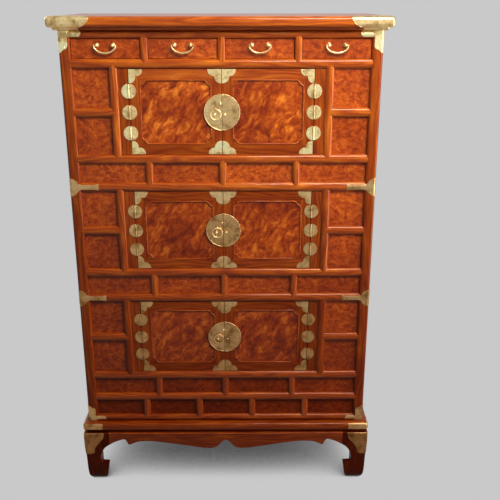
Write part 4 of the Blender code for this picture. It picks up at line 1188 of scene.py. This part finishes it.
def make_locks():
    """The round lock plates, split between the doors, with their studs, and the rings."""
    for tier, door_z in enumerate(DOOR_Z, start=1):
        middle = door_z + DOOR_OPENING / 2
        ring_z = middle - RING_BELOW
        eye = Vector((-RING_ASIDE, LOCK_FACE - EYE_RADIUS, ring_z + RING_RADIUS))
        left_fittings = [
            tube(ring_about(eye, INTO, UP, EYE_RADIUS, ROUND_STEPS), EYE_WIRE, closed=True),
            stud(-LEFT_STUD_ASIDE, ring_z), stud(-HIGH_STUD_ASIDE, middle + HIGH_STUD_ABOVE, HIGH_STUD),
        ]
        fittings = {"left": left_fittings, "right": [stud(RIGHT_STUD_ASIDE, ring_z)]}
        for side, sign in SIDES.items():
            front = [
                [
                    (sign * max(LOCK_SPLIT, x), LOCK_FACE + depth, z)
                    for x, z in arc((0.0, middle), share * LOCK_RADIUS, 90, -90, FINE_STEPS)
                ]
                for share, depth in LOCK_STATIONS
            ]
            back = [[(x, LOCK_BACK, z) for x, _, z in ring] for ring in front]
            piece = Piece().add(sheet(front, back), "X", LOCK_PLATE_SHADE_TONES[tier])
            reach = LOCK_RADIUS - RIM_WIRE
            rim = arc((0.0, middle), (sign * reach, reach), 90 - RIM_START, RIM_START - 90, FINE_STEPS)
            wire = [(x, LOCK_FACE + RIM_SINK, z) for x, z in rim]
            piece.add(tube(wire, RIM_WIRE, RIM_SIDES), "X", RIM_TONE)
            # The studs and the eye, and below them the ring, get a brighter tone than the plate: a painted
            # highlight
            for fitting in fittings[side]:
                piece.add(fitting, "X", RING_HIGHLIGHT_TONE)
            label = f"{side}_{tier}"
            piece.make(f"lock_half_{label}", BRASS_METAL, [f"lock_plate_{label}"], f"door_{label}")
        loop = ring_about(eye - RING_RADIUS * UP, RIGHT, UP, RING_RADIUS, FINE_STEPS)
        ring = Piece(RING_HIGHLIGHT_TONE).add(tube(loop, RING_WIRE, RING_SIDES, closed=True))
        ring.make(f"pull_ring_{tier}", BRASS_METAL, [f"ring_pull_{tier}"], f"ring_{tier}")


def drawer_sides(middle, face):
    """A drawer's plain walls, back and base. Each lies a fit inside the last, so none coincide."""
    half = (DRAWER_HIGH.x - DRAWER_LOW.x) / 2
    low = DRAWER_LOW.z
    high = DRAWER_HIGH.z
    rear = DRAWER_HIGH.y
    start = face + DRAWER_FRONT - DRAWER_OVERLAP
    box = Piece()
    for sign in SIDES.values():
        wall = (middle + sign * (half - FIT), middle + sign * (half - DRAWER_WALL))
        box.add(block(wall, (start, rear - FIT), (low + FIT, high - FIT), EDGE), "Y")
    reach = half - 2 * FIT
    across = (middle - reach, middle + reach)
    box.add(block(across, (rear - DRAWER_WALL, rear), (low + 2 * FIT, high - 2 * FIT), EDGE))
    reach = half - 3 * FIT
    across = (middle - reach, middle + reach)
    return box.add(block(across, (start + FIT, rear - 2 * FIT), (low + 3 * FIT, low + DRAWER_BASE)), "Y")


def make_drawers():
    """Four drawers: a burl front, a plain box behind it, two knobs and a bail."""
    face = FRONT + DRAWER_SETBACK
    half = (DRAWER_HIGH.x - DRAWER_LOW.x) / 2
    knob_z = DRAWER_Z + DRAWER_OPENING / 2 + KNOB_ABOVE_MIDDLE
    knob_y = face - KNOB_STANDOFF
    knob = arc((0.0, 0.0), KNOB_RADIUS, -90, 90, KNOB_STEPS // 2)
    knob_x = KNOB_SPACING / 2
    half_bail = knob_x + KNOB_RADIUS + BAIL_CLEARANCE + BAIL_PIN
    bow = arc((0.0, knob_z), (half_bail, BAIL_DROP), -180, 0, FINE_STEPS)
    path = [(-knob_x, knob_z), *bow, (knob_x, knob_z)]
    radii = [BAIL_PIN + (BAIL_THICK - BAIL_PIN) * (knob_z - z) / BAIL_DROP for _, z in path]
    for number, middle in enumerate(DRAWER_X, start=1):
        body = f"drawer_{number}"
        front = Piece().add(block(
            (middle - half, middle + half), (face, face + DRAWER_FRONT), (DRAWER_LOW.z, DRAWER_HIGH.z),
            DRAWER_EDGE,
        ))
        front.make(f"drawer_front_{number}", FINE_BURL, [f"drawer_box_{number}"], body)
        drawer_sides(middle, face).make(f"drawer_sides_{number}", INNER, body=body)
        knobs = Piece()
        for sign in SIDES.values():
            x = middle + sign * knob_x
            knobs.add(turned(knob, (x, knob_y, knob_z), INTO, KNOB_STEPS))
            knobs.add(turned(KNOB_NECK, (x, face, knob_z), -INTO))
        knobs.make(f"drawer_knobs_{number}", BRASS_METAL, body=body)
        bail = Piece().add(tube([(middle + x, knob_y, z) for x, z in path], radii, RING_SIDES))
        bail.make(f"bail_handle_{number}", BRASS_METAL, [f"drawer_bail_{number}"], f"bail_{number}")


def make_sides():
    """The burl boards that close the sides, with half-round elm rails."""
    rails = [(CARCASS_BASE, CARCASS_BASE + BASE_RAIL), (CARCASS_TOP - TOP_RAIL, CARCASS_TOP)]
    rails += [(DRAWER_Z - RAIL, DRAWER_Z)]
    rails += [(z + DOOR_OPENING, z + DOOR_OPENING + RAIL) for z in DOOR_Z[1:]]
    face = SIDE_HIGH.x - SIDE_RAIL_DEPTH
    sunk = face - SIDE_RAIL_DEPTH / 2
    for side, sign in SIDES.items():
        board = Piece().add(block(
            (sign * SIDE_LOW.x, sign * face), (SIDE_LOW.y, SIDE_HIGH.y), (SIDE_LOW.z, SIDE_HIGH.z),
        ), "Z")
        board.make(f"side_board_{side}", FINE_BURL, [f"side_panel_{side}"])
        wood = Piece()
        for low, high in rails:
            middle = (low + high) / 2
            half = (high - low) / 2 - 2 * FIT
            section = [(sunk, middle - half), (sunk, middle + half)]
            section += arc((face, middle), (SIDE_RAIL_DEPTH, half), 90, -90, ROUND_STEPS)
            placed = [(sign * across, up) for across, up in section]
            wood.add(extrude(placed, "Y", SIDE_LOW.y, SIDE_HIGH.y), "Y")
        wood.make(f"side_rails_{side}", ELM)


def make_sill():
    """The moulded sill between the stand and the chest, mitred from four rails."""
    piece = Piece(SILL_TONE)
    quarter = ROUND_STEPS // 2
    profile = [
        (SILL_RAIL, SILL_LOW.z),
        *arc((SILL_ROUND, SILL_LOW.z + SILL_ROUND), SILL_ROUND, 270, 180, quarter),
        *arc((SILL_ROUND, SILL_HIGH.z - SILL_ROUND), SILL_ROUND, 180, 90, quarter)[1:],
        (SILL_RAIL, SILL_HIGH.z),
    ]
    for solid, grain in mitred_frame(SILL_LOW, SILL_HIGH, profile, SILL_ROUND):
        piece.add(solid, grain)
    piece.make("sill_wood", ELM, ["base_sill"])


def add_apron(piece, along, half_length, end, middle, outer, inner, shaped_middle):
    """An apron between two legs, with soft edges and a thin line along its top, toned bright as a painted
    highlight.
    """
    shares = [(half_length - across * end, drop) for across, drop in APRON_END_SHARES]
    if shaped_middle:
        shares += [((half_length - end) * (1 - across), drop) for across, drop in APRON_MIDDLE_SHARES]
    lowest = [(across, STAND_HEIGHT - drop * APRON_DROP) for across, drop in shares]
    edge = smooth_curve(lowest, CURVE_STEPS)
    mirrored = [(-across, up) for across, up in reversed(edge) if across > SAME_PLACE]
    points = [(half_length, STAND_HEIGHT), *edge, *mirrored, (-half_length, STAND_HEIGHT)]
    points = [(middle + across, up) for across, up in points]
    grain = "X" if along == "Y" else "Y"
    piece.add(plate(points, outer, inner, SOFT_EDGE, along, rim_behind=True), grain)
    level = outer + math.copysign(TOP_LINE - TOP_LINE_PROUD, inner - outer)
    place = PLACES[along]
    line = [place(middle + side * half_length, STAND_HEIGHT - TOP_LINE, level) for side in (-1, 1)]
    piece.add(tube(line, TOP_LINE), grain, TOP_LINE_HIGHLIGHT_TONE)


def make_stand():
    """Four aprons on a flat ring, and four carved legs."""
    piece = Piece(STAND_TONE)
    half_x = STAND_X - LEG_WIDTH
    half_y = (STAND_BACK - STAND_FRONT) / 2 - LEG_WIDTH
    middle_y = (STAND_FRONT + STAND_BACK) / 2
    low = STAND_HEIGHT + FIT
    ring_x = STAND_X - STAND_INSET
    width = STAND_RING - STAND_INSET
    profile = [
        (width, low), (EDGE, low), (0.0, low + EDGE), (0.0, STAND_TOP - EDGE), (EDGE, STAND_TOP),
        (width, STAND_TOP),
    ]
    corners = ((-ring_x, STAND_FRONT + STAND_INSET), (ring_x, STAND_BACK - STAND_INSET))
    for solid, grain in mitred_frame(*corners, profile, SOFT_EDGE):
        piece.add(solid, grain)
    side_end = half_y - SIDE_APRON_FLAT / 2
    for along, half, end, middle, edge, inward, shaped in (
        ("Y", half_x, APRON_END, 0.0, STAND_FRONT, 1, True),
        ("Y", half_x, APRON_END, 0.0, STAND_BACK, -1, False),
        ("X", half_y, side_end, middle_y, -STAND_X, 1, False),
        ("X", half_y, side_end, middle_y, STAND_X, -1, False),
    ):
        add_apron(piece, along, half, end, middle, edge, edge + inward * APRON_THICKNESS, shaped)
    piece.make("stand_aprons", ELM, ["stand_frame"])
    for side, sign in SIDES.items():
        for place, edge, inward in (("front", STAND_FRONT, 1), ("rear", STAND_BACK, -1)):
            make_leg(f"{place}_{side}", sign, edge, inward)


def leg_silhouette():
    """The outer edge of a leg from the floor up, as shares of its width and height."""
    return smooth_curve(LEG_OUTER, LEG_OUTER_STEPS, LEG_OUTER_CORNERS)[::-1]


def soft_corner(a, b, towards_a, towards_b, quarter):
    """A softened corner of a leg's section, turning through one quarter."""
    centre = (a + SOFT_EDGE * towards_a, b + SOFT_EDGE * towards_b)
    return arc(centre, SOFT_EDGE, 90 * quarter, 90 * quarter + 90, EDGE_STEPS)


def make_leg(name, sign, edge, inward):
    """A leg with a square core and a board on each outer face, carved to one silhouette."""
    outer = leg_silhouette()
    inner = smooth_curve(LEG_INNER, LEG_INNER_STEPS, LEG_INNER_CORNERS)
    board = APRON_THICKNESS
    levels = [(up * STAND_HEIGHT, up, 0.0) for up in sorted({point.y for point in outer + inner})[:-1]]
    for drawn_in, below in arc((STAND_EDGE, STAND_EDGE), STAND_EDGE, 180, 270, EDGE_STEPS):
        levels.append((STAND_HEIGHT - below, 1.0, drawn_in))
    rings = []
    for z, up, drawn_in in levels:
        near = value_at(outer, up) * LEG_WIDTH + drawn_in
        far = value_at(inner, up) * LEG_WIDTH
        ring = [
            *soft_corner(near, near, 1, 1, 2), *soft_corner(far, near, -1, 1, 3),
            *soft_corner(far, board, -1, -1, 0), (LEG_CORE, board), (LEG_CORE, LEG_CORE),
            (board, LEG_CORE), *soft_corner(board, far, -1, -1, 0), *soft_corner(near, far, 1, -1, 1),
        ]
        rings.append([(sign * (STAND_X - across), edge + inward * deep, z) for across, deep in ring])
    leg = Piece().add(loft(rings), "Z", LEG_TONE)
    leg.make(f"carved_leg_{name}", ELM, [f"stand_leg_{name}"])


def add_wrapped_plate(piece, outline, place, across_cuts, up_cuts):
    """A thin plate cut to an outline and laid on a bent surface by a placing function."""
    work = bmesh.new()
    work.faces.new([work.verts.new((a, 0.0, b)) for a, b in outline])
    for cuts, normal in ((across_cuts, RIGHT), (up_cuts, UP)):
        for cut in cuts:
            bmesh.ops.bisect_plane(
                work, geom=work.verts[:] + work.edges[:] + work.faces[:], dist=SAME_PLACE,
                plane_co=cut * normal, plane_no=normal,
            )
    sheet_faces = work.faces[:]
    behind = {}
    rims = [edge for edge in work.edges if len(edge.link_faces) == 1]
    for corner in work.verts[:]:
        behind[corner] = work.verts.new(place(corner.co.x, corner.co.z, -BRASS_SINK))
        corner.co = place(corner.co.x, corner.co.z, BRASS)
    for face in sheet_faces:
        work.faces.new([behind[corner] for corner in reversed(face.verts)])
    for edge in rims:
        a, b = edge.verts
        work.faces.new([a, b, behind[b], behind[a]])
    bmesh.ops.bevel(work, geom=rims, offset=BRASS_EDGE, segments=2, profile=0.5, affect="EDGES")
    piece.add(solid_of(work))


def round_corner_place(sign, side_x, front, radius, recess):
    """Places (distance from the middle, height, proud) on a front that turns a rounded corner.

    `recess` says how far the surface lies behind the foremost one.
    """
    flat = side_x - radius

    def place(across, up, proud):
        proud -= recess(across, up)
        if across <= flat:
            return Vector((sign * across, front - proud, up))
        angle = (across - flat) / radius
        if angle <= math.pi / 2:
            reach = radius + proud
            return Vector((
                sign * (flat + reach * math.sin(angle)), front + radius - reach * math.cos(angle), up,
            ))
        past = (angle - math.pi / 2) * radius
        return Vector((sign * (side_x + proud), front + radius + past, up))

    return place


def post_place(sign, rail):
    """Places on a front post and on the rail beside it."""
    middle = (rail[0] + rail[1]) / 2
    half = (rail[1] - rail[0]) / 2

    def recess(across, up):
        if across >= POST_IN + POST_ROUND:
            return 0.0
        post = round_recess(across - POST_IN, POST_ROUND) if across > POST_IN else POST_ROUND
        share = min(abs(up - middle) / half, 1.0)
        return min(post, MOULDING_RISE * (1 - math.sqrt(1 - share**2)))

    return round_corner_place(sign, POST_OUT, FRONT, POST_ROUND, recess)


def post_cuts():
    """Where a plate on a post is cut so that it can bend."""
    around = steps_between(POST_FLAT, POST_SIDE, POST_CUTS)
    inner = steps_between(POST_IN, POST_IN + POST_ROUND, RAIL_END_CUTS)
    return [POST_FLAT, *around, POST_SIDE, POST_IN, *inner, POST_IN + POST_ROUND]


def add_laid_nail(piece, place, across, up):
    """A nail head on a bent plate."""
    nearby = 0.0005
    point = place(across, up, BRASS)
    beside = place(across + nearby, up, BRASS) - point
    above = place(across, up + nearby, BRASS) - point
    normal = beside.cross(above).normalized()
    if normal.y > 0:
        normal = -normal
    piece.add(nail(point - normal * FIT, normal))


def nailed_plate(tone, outline, place, across_cuts, up_cuts, nails):
    """A bent plate with its nails, which are (distance from the middle, height)."""
    piece = Piece(tone)
    add_wrapped_plate(piece, outline, place, across_cuts, up_cuts)
    for across, up in nails:
        add_laid_nail(piece, place, across, up)
    return piece


def post_bracket(sign, tone, rail, down, arm_x, arm_height, post_x, drops, nails):
    """An L bracket where a front post meets the first or the last rail."""
    outer = POST_SIDE + SIDE_REACH
    corner = (rail[0] if down > 0 else rail[1]) + down * POST_BRACKET_INSET
    tip = arm_height * POST_BRACKET_TIP
    rise = arm_height - tip
    curl = rise * POST_BRACKET_CURL
    drop_in, drop_out = drops
    toe = POST_BRACKET_TOE
    outline = [
        (outer, 0.0), *arc((arm_x + tip, tip), tip, 270, 180, LOBE_STEPS),
        *arc((arm_x + curl, tip), (curl, rise), 180, 90, LOBE_STEPS)[1:], (post_x, arm_height),
        *smooth_curve([
            (post_x, drop_in * POST_BRACKET_CORNER), (post_x + toe, drop_in),
            (post_x + 3.5 * toe, drop_in + toe), (post_x + 6 * toe, drop_out), (outer, drop_out),
        ], TOE_STEPS),
    ]
    outline, nails = [[(x, corner + down * along) for x, along in points] for points in (outline, nails)]
    return nailed_plate(
        tone, outline, post_place(sign, rail), post_cuts(), steps_between(*rail, BRACKET_CUTS), nails,
    )


def rail_strap(sign, rail):
    """A strap from a round plate on the post out along a rail to a spread tip."""
    middle = (rail[0] + rail[1]) / 2
    disc = arc((POST_OUT - STRAP_DISC_INSET, 0.0), STRAP_DISC, 90, STRAP_DISC_END, STRAP_DISC_STEPS)
    upper = [(POST_SIDE + SIDE_REACH, STRAP_DISC), *disc]
    for start, offsets in ((disc[-1][0], STRAP_NECK), (STRAP_TIP, STRAP_SPREAD)):
        upper += [(start + across, STRAP_ARM + up) for across, up in offsets]
    lower = [(x, -z) for x, z in reversed(upper)]
    outline = [(x, middle + z) for x, z in [*upper, (STRAP_TIP + STRAP_NOTCH, 0.0), *lower]]
    nails = [(x, middle + z) for x, z in STRAP_NAILS]
    return nailed_plate(
        STRAP_TONE, outline, post_place(sign, rail), post_cuts(), steps_between(*rail, STRAP_CUTS),
        nails,
    )


def sill_strap(sign):
    """A strap round the corner of the sill."""
    low, high = [SILL_LOW.z + up for up in SILL_STRAP]
    flat = SILL_HIGH.x - SILL_ROUND
    side = flat + SILL_ROUND * math.pi / 2
    inner = SILL_HIGH.x - SILL_STRAP_FRONT
    outer = side + SILL_STRAP_SIDE
    place = round_corner_place(
        sign, SILL_HIGH.x, SILL_LOW.y, SILL_ROUND,
        lambda across, up: round_recess(min(up - SILL_LOW.z, SILL_HIGH.z - up), SILL_ROUND),
    )
    outline = [(inner, low), (outer, low), (outer, high), (inner, high)]
    return nailed_plate(
        SILL_STRAP_TONE, outline, place, steps_between(flat, side, SILL_CUTS),
        steps_between(low, high, SILL_CUTS),
        [(SILL_HIGH.x - inward, (low + high) / 2) for inward in SILL_STRAP_NAILS],
    )


def stand_plate(sign):
    """A plate bent round the corner of a front leg, which follows its curve."""
    piece = Piece(STAND_PLATE_TONE)
    edge = smooth_curve(STAND_PLATE_EDGE, CURVE_STEPS)
    top = STAND_HEIGHT - STAND_PLATE_TOP
    flat = STAND_X - SOFT_EDGE
    side_start = flat + SOFT_EDGE * math.pi / 2
    bend = side_start - flat - SOFT_EDGE
    front = [(STAND_X - across, top - down) for across, down in edge]
    side = [(STAND_X + bend - SOFT_EDGE + across, top - down) for across, down in reversed(edge)]
    silhouette = leg_silhouette()
    corner = round_corner_place(sign, STAND_X, STAND_FRONT, SOFT_EDGE, lambda across, up: 0.0)

    def place(across, up, proud):
        drawn_in = value_at(silhouette, up / STAND_HEIGHT) * LEG_WIDTH
        return corner(across, up, proud) + Vector((-sign * drawn_in, drawn_in, 0.0))

    cuts = [flat, *steps_between(flat, side_start, LEG_EDGE_CUTS), side_start]
    lowest = top - STAND_PLATE_EDGE[-1][1]
    add_wrapped_plate(piece, front + side, place, cuts, steps_between(lowest, top, STAND_PLATE_CUTS))
    half = STAND_PLATE_CUTS
    # A thin line along the plate's top edge, toned bright: a painted highlight
    line_places = [STAND_X + STAND_PLATE_LINE * (step / half - 1) for step in range(2 * half + 1)]
    proud = TOP_LINE_PROUD - TOP_LINE + BRASS
    line = [place(across, STAND_HEIGHT - TOP_LINE, proud) for across in line_places]
    piece.add(tube(line, TOP_LINE), "X", TOP_LINE_HIGHLIGHT_TONE)
    for across, down in STAND_PLATE_NAILS:
        add_laid_nail(piece, place, STAND_X - across, STAND_HEIGHT - down)
    return piece


def top_cap(sign):
    """A cap round a front corner of the top board, with a raised rim at each end."""
    piece = Piece()
    half = TOP_HIGH.x - TOP_ROUND
    front = TOP_LOW.y + TOP_ROUND
    profile = []
    for level, start in ((TOP_HIGH.z - TOP_ROUND, math.pi / 2), (BOARD_LOW + TOP_ROUND, 0.0)):
        for step in range(TOP_STEPS + 1):
            angle = start - math.pi / 2 * step / TOP_STEPS
            profile.append((TOP_ROUND * math.cos(angle), level + TOP_ROUND * math.sin(angle), angle))
    # From the end on the side (-1) to the corner (0 to 1) and to the end on the front (2)
    on_side, round_corner, on_front = CAP_STEPS
    steps = [i / on_side - 1 for i in range(on_side)]
    steps += [i / round_corner for i in range(round_corner + 1)]
    steps += [1 + i / on_front for i in range(1, on_front + 1)]

    def point(t, column, proud):
        out, level, angle = profile[column]
        sweep = CAP_SWEEP * ((TOP_HIGH.z - level) / TOP_THICKNESS)**CAP_SWEEP_POWER
        out += proud * math.cos(angle)
        level += proud * math.sin(angle)
        if t <= 0:
            return Vector((sign * (half + out), front - (CAP_SIDE - sweep - TOP_ROUND) * t, level))
        if t <= 1:
            turn = math.pi / 2 * t
            return Vector((sign * (half + out * math.cos(turn)), front - out * math.sin(turn), level))
        return Vector((sign * (half - (CAP_FRONT - sweep - TOP_ROUND) * (t - 1)), front - out, level))

    columns = range(len(profile))
    outer, inner = [
        [[point(t, column, proud) for column in columns] for t in steps] for proud in (BRASS, -BRASS_SINK)
    ]
    piece.add(sheet(outer, inner))
    for t in (steps[0], steps[-1]):
        piece.add(tube([point(t, column, BRASS / 2) for column in columns], CAP_WIRE, RIM_SIDES))
    piece.add(block(
        (sign * (TOP_HIGH.x - CAP_FRONT + CAP_SWEEP), sign * (BEAD_X + BRASS / 2)),
        (BEAD_FRONT - BRASS / 2, TOP_LOW.y + CAP_SIDE - CAP_SWEEP),
        (TOP_LOW.z - BRASS_SINK, BEAD_TOP), BEAD_ROUND, TOP_STEPS,
    ), "X", CAP_BEAD_TONE)
    stretch = CAP_FRONT / CAP_SIDE
    outline = [
        (sign * (half - across * stretch), front + along)
        for across, along in corner_bracket(CAP_SIDE - TOP_ROUND, CAP_TOP_ARM, CAP_TOP_ARM)
    ]
    return piece.add(plate(outline, TOP_HIGH.z + BRASS, TOP_HIGH.z - FIT, BRASS_RIM, "Z"))


def make_trim():
    """The thin brass on the corners of the chest, one piece for each place."""
    for side, sign in SIDES.items():
        top_cap(sign).make(f"top_cap_{side}", BRASS_METAL)
        post_bracket(sign, **POST_BRACKETS["top"]).make(f"post_top_bracket_{side}", BRASS_METAL)
        for number, door_z in enumerate(DOOR_Z[1:], start=1):
            low = door_z + DOOR_OPENING
            rail_strap(sign, (low, low + RAIL)).make(f"rail_strap_{side}_{number}", BRASS_METAL)
        post_bracket(sign, **POST_BRACKETS["foot"]).make(f"post_foot_bracket_{side}", BRASS_METAL)
        sill_strap(sign).make(f"sill_strap_{side}", BRASS_METAL)
        stand_plate(sign).make(f"stand_plate_{side}", BRASS_METAL)


def dress_fixed_nodes():
    """Better materials for the CAD nodes that stay: the back, the floors and the deck."""
    for name in ("back_panel", "drawer_deck", "tier_floor_1", "tier_floor_2", "tier_floor_3"):
        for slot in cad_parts[name].material_slots:
            slot.material = INNER_FIXED


def shown_rays(recipe):
    """1 for the rays that show a surface to the camera, straight or by way of metal or glass."""
    seen = recipe.node("ShaderNodeLightPath").outputs
    shown = recipe.math("ADD", seen["Is Camera Ray"], seen["Is Glossy Ray"], clamp=True)
    return recipe.math("ADD", shown, seen["Is Transmission Ray"], clamp=True)


def shown_grey(recipe, shade):
    """A matt grey surface that the camera, mirrors and glass see in an even grey."""
    glow = recipe.node("ShaderNodeEmission", {"Color": (*[BACKGROUND] * 3, 1.0), "Strength": shade})
    matt = recipe.node("ShaderNodeBsdfDiffuse", {"Color": (*[GIVEN_BACK] * 3, 1.0)})
    both = recipe.node("ShaderNodeMixShader", [shown_rays(recipe), matt.outputs[0], glow.outputs[0]])
    recipe.put(recipe.tree.nodes["Material Output"].inputs["Surface"], both.outputs[0])
    return recipe.owner


def make_stage():
    """A plain pale floor with a painted shadow, darker where the chest is near, and a backdrop in the same
    grey.
    """
    recipe = Recipe.of_material("studio_floor")
    settings = {"Distance": FLOOR_SHADE_REACH}
    near = recipe.node("ShaderNodeAmbientOcclusion", settings, samples=16).outputs["AO"]
    floor = shown_grey(recipe, recipe.span(near, *FLOOR_SHADE))
    backdrop = shown_grey(Recipe.of_material("studio_backdrop"), 1.0)
    for name, material, start, end in (
        ("studio_floor", floor, (-STAGE_REACH, 0.0), (BACKDROP_Y, 0.0)),
        ("studio_backdrop", backdrop, (BACKDROP_Y, 0.0), (BACKDROP_Y, BACKDROP_HEIGHT)),
    ):
        corners = [
            (-STAGE_REACH, *start), (STAGE_REACH, *start), (STAGE_REACH, *end), (-STAGE_REACH, *end),
        ]
        mesh = bpy.data.meshes.new(name)
        mesh.from_pydata(corners, [], [(0, 1, 2, 3)])
        mesh.materials.append(material)
        add_object(name, mesh)


def make_world():
    """A dim, even sky, which the camera and metal see in the background's grey."""
    world = bpy.data.worlds.new("studio")
    bpy.context.scene.world = world
    recipe = Recipe(world)
    sky = recipe.tree.nodes["Background"].inputs
    recipe.put(sky["Color"], (1.0, 1.0, 1.0, 1.0))
    recipe.put(sky["Strength"], recipe.span(shown_rays(recipe), 0.0, 1.0, SKY_LEVEL, BACKGROUND))


def make_lamps():
    """Two lamps high in front, a wide dim one behind the camera, one at the right, one behind."""
    for name, (place, aim, size, power) in LAMPS.items():
        lamp = bpy.data.lights.new(name, "AREA")
        lamp.shape = "RECTANGLE"
        lamp.size, lamp.size_y = size
        lamp.energy = power
        holder = add_object(name, lamp)
        holder.location = place
        holder.rotation_euler = (Vector(aim) - Vector(place)).to_track_quat("-Z", "Y").to_euler()


def make_camera():
    """The photograph's view: from standing eye level, a little to the right, looking down."""
    lens = bpy.data.cameras.new("camera")
    lens.sensor_width = SENSOR
    lens.lens = LENS
    camera = add_object("camera", lens)
    camera.location = CAMERA_PLACE
    camera.rotation_euler = Euler([math.radians(turn) for turn in CAMERA_TURN])
    bpy.context.scene.camera = camera


make_top()
make_posts()
make_face_frames()
make_bay_frames()
make_burl_boards()
make_doors()
make_locks()
make_drawers()
make_sides()
make_sill()
make_stand()
make_trim()
dress_fixed_nodes()
make_stage()
make_world()
make_lamps()
make_camera()
bpy.context.scene.view_settings.view_transform = "Standard"
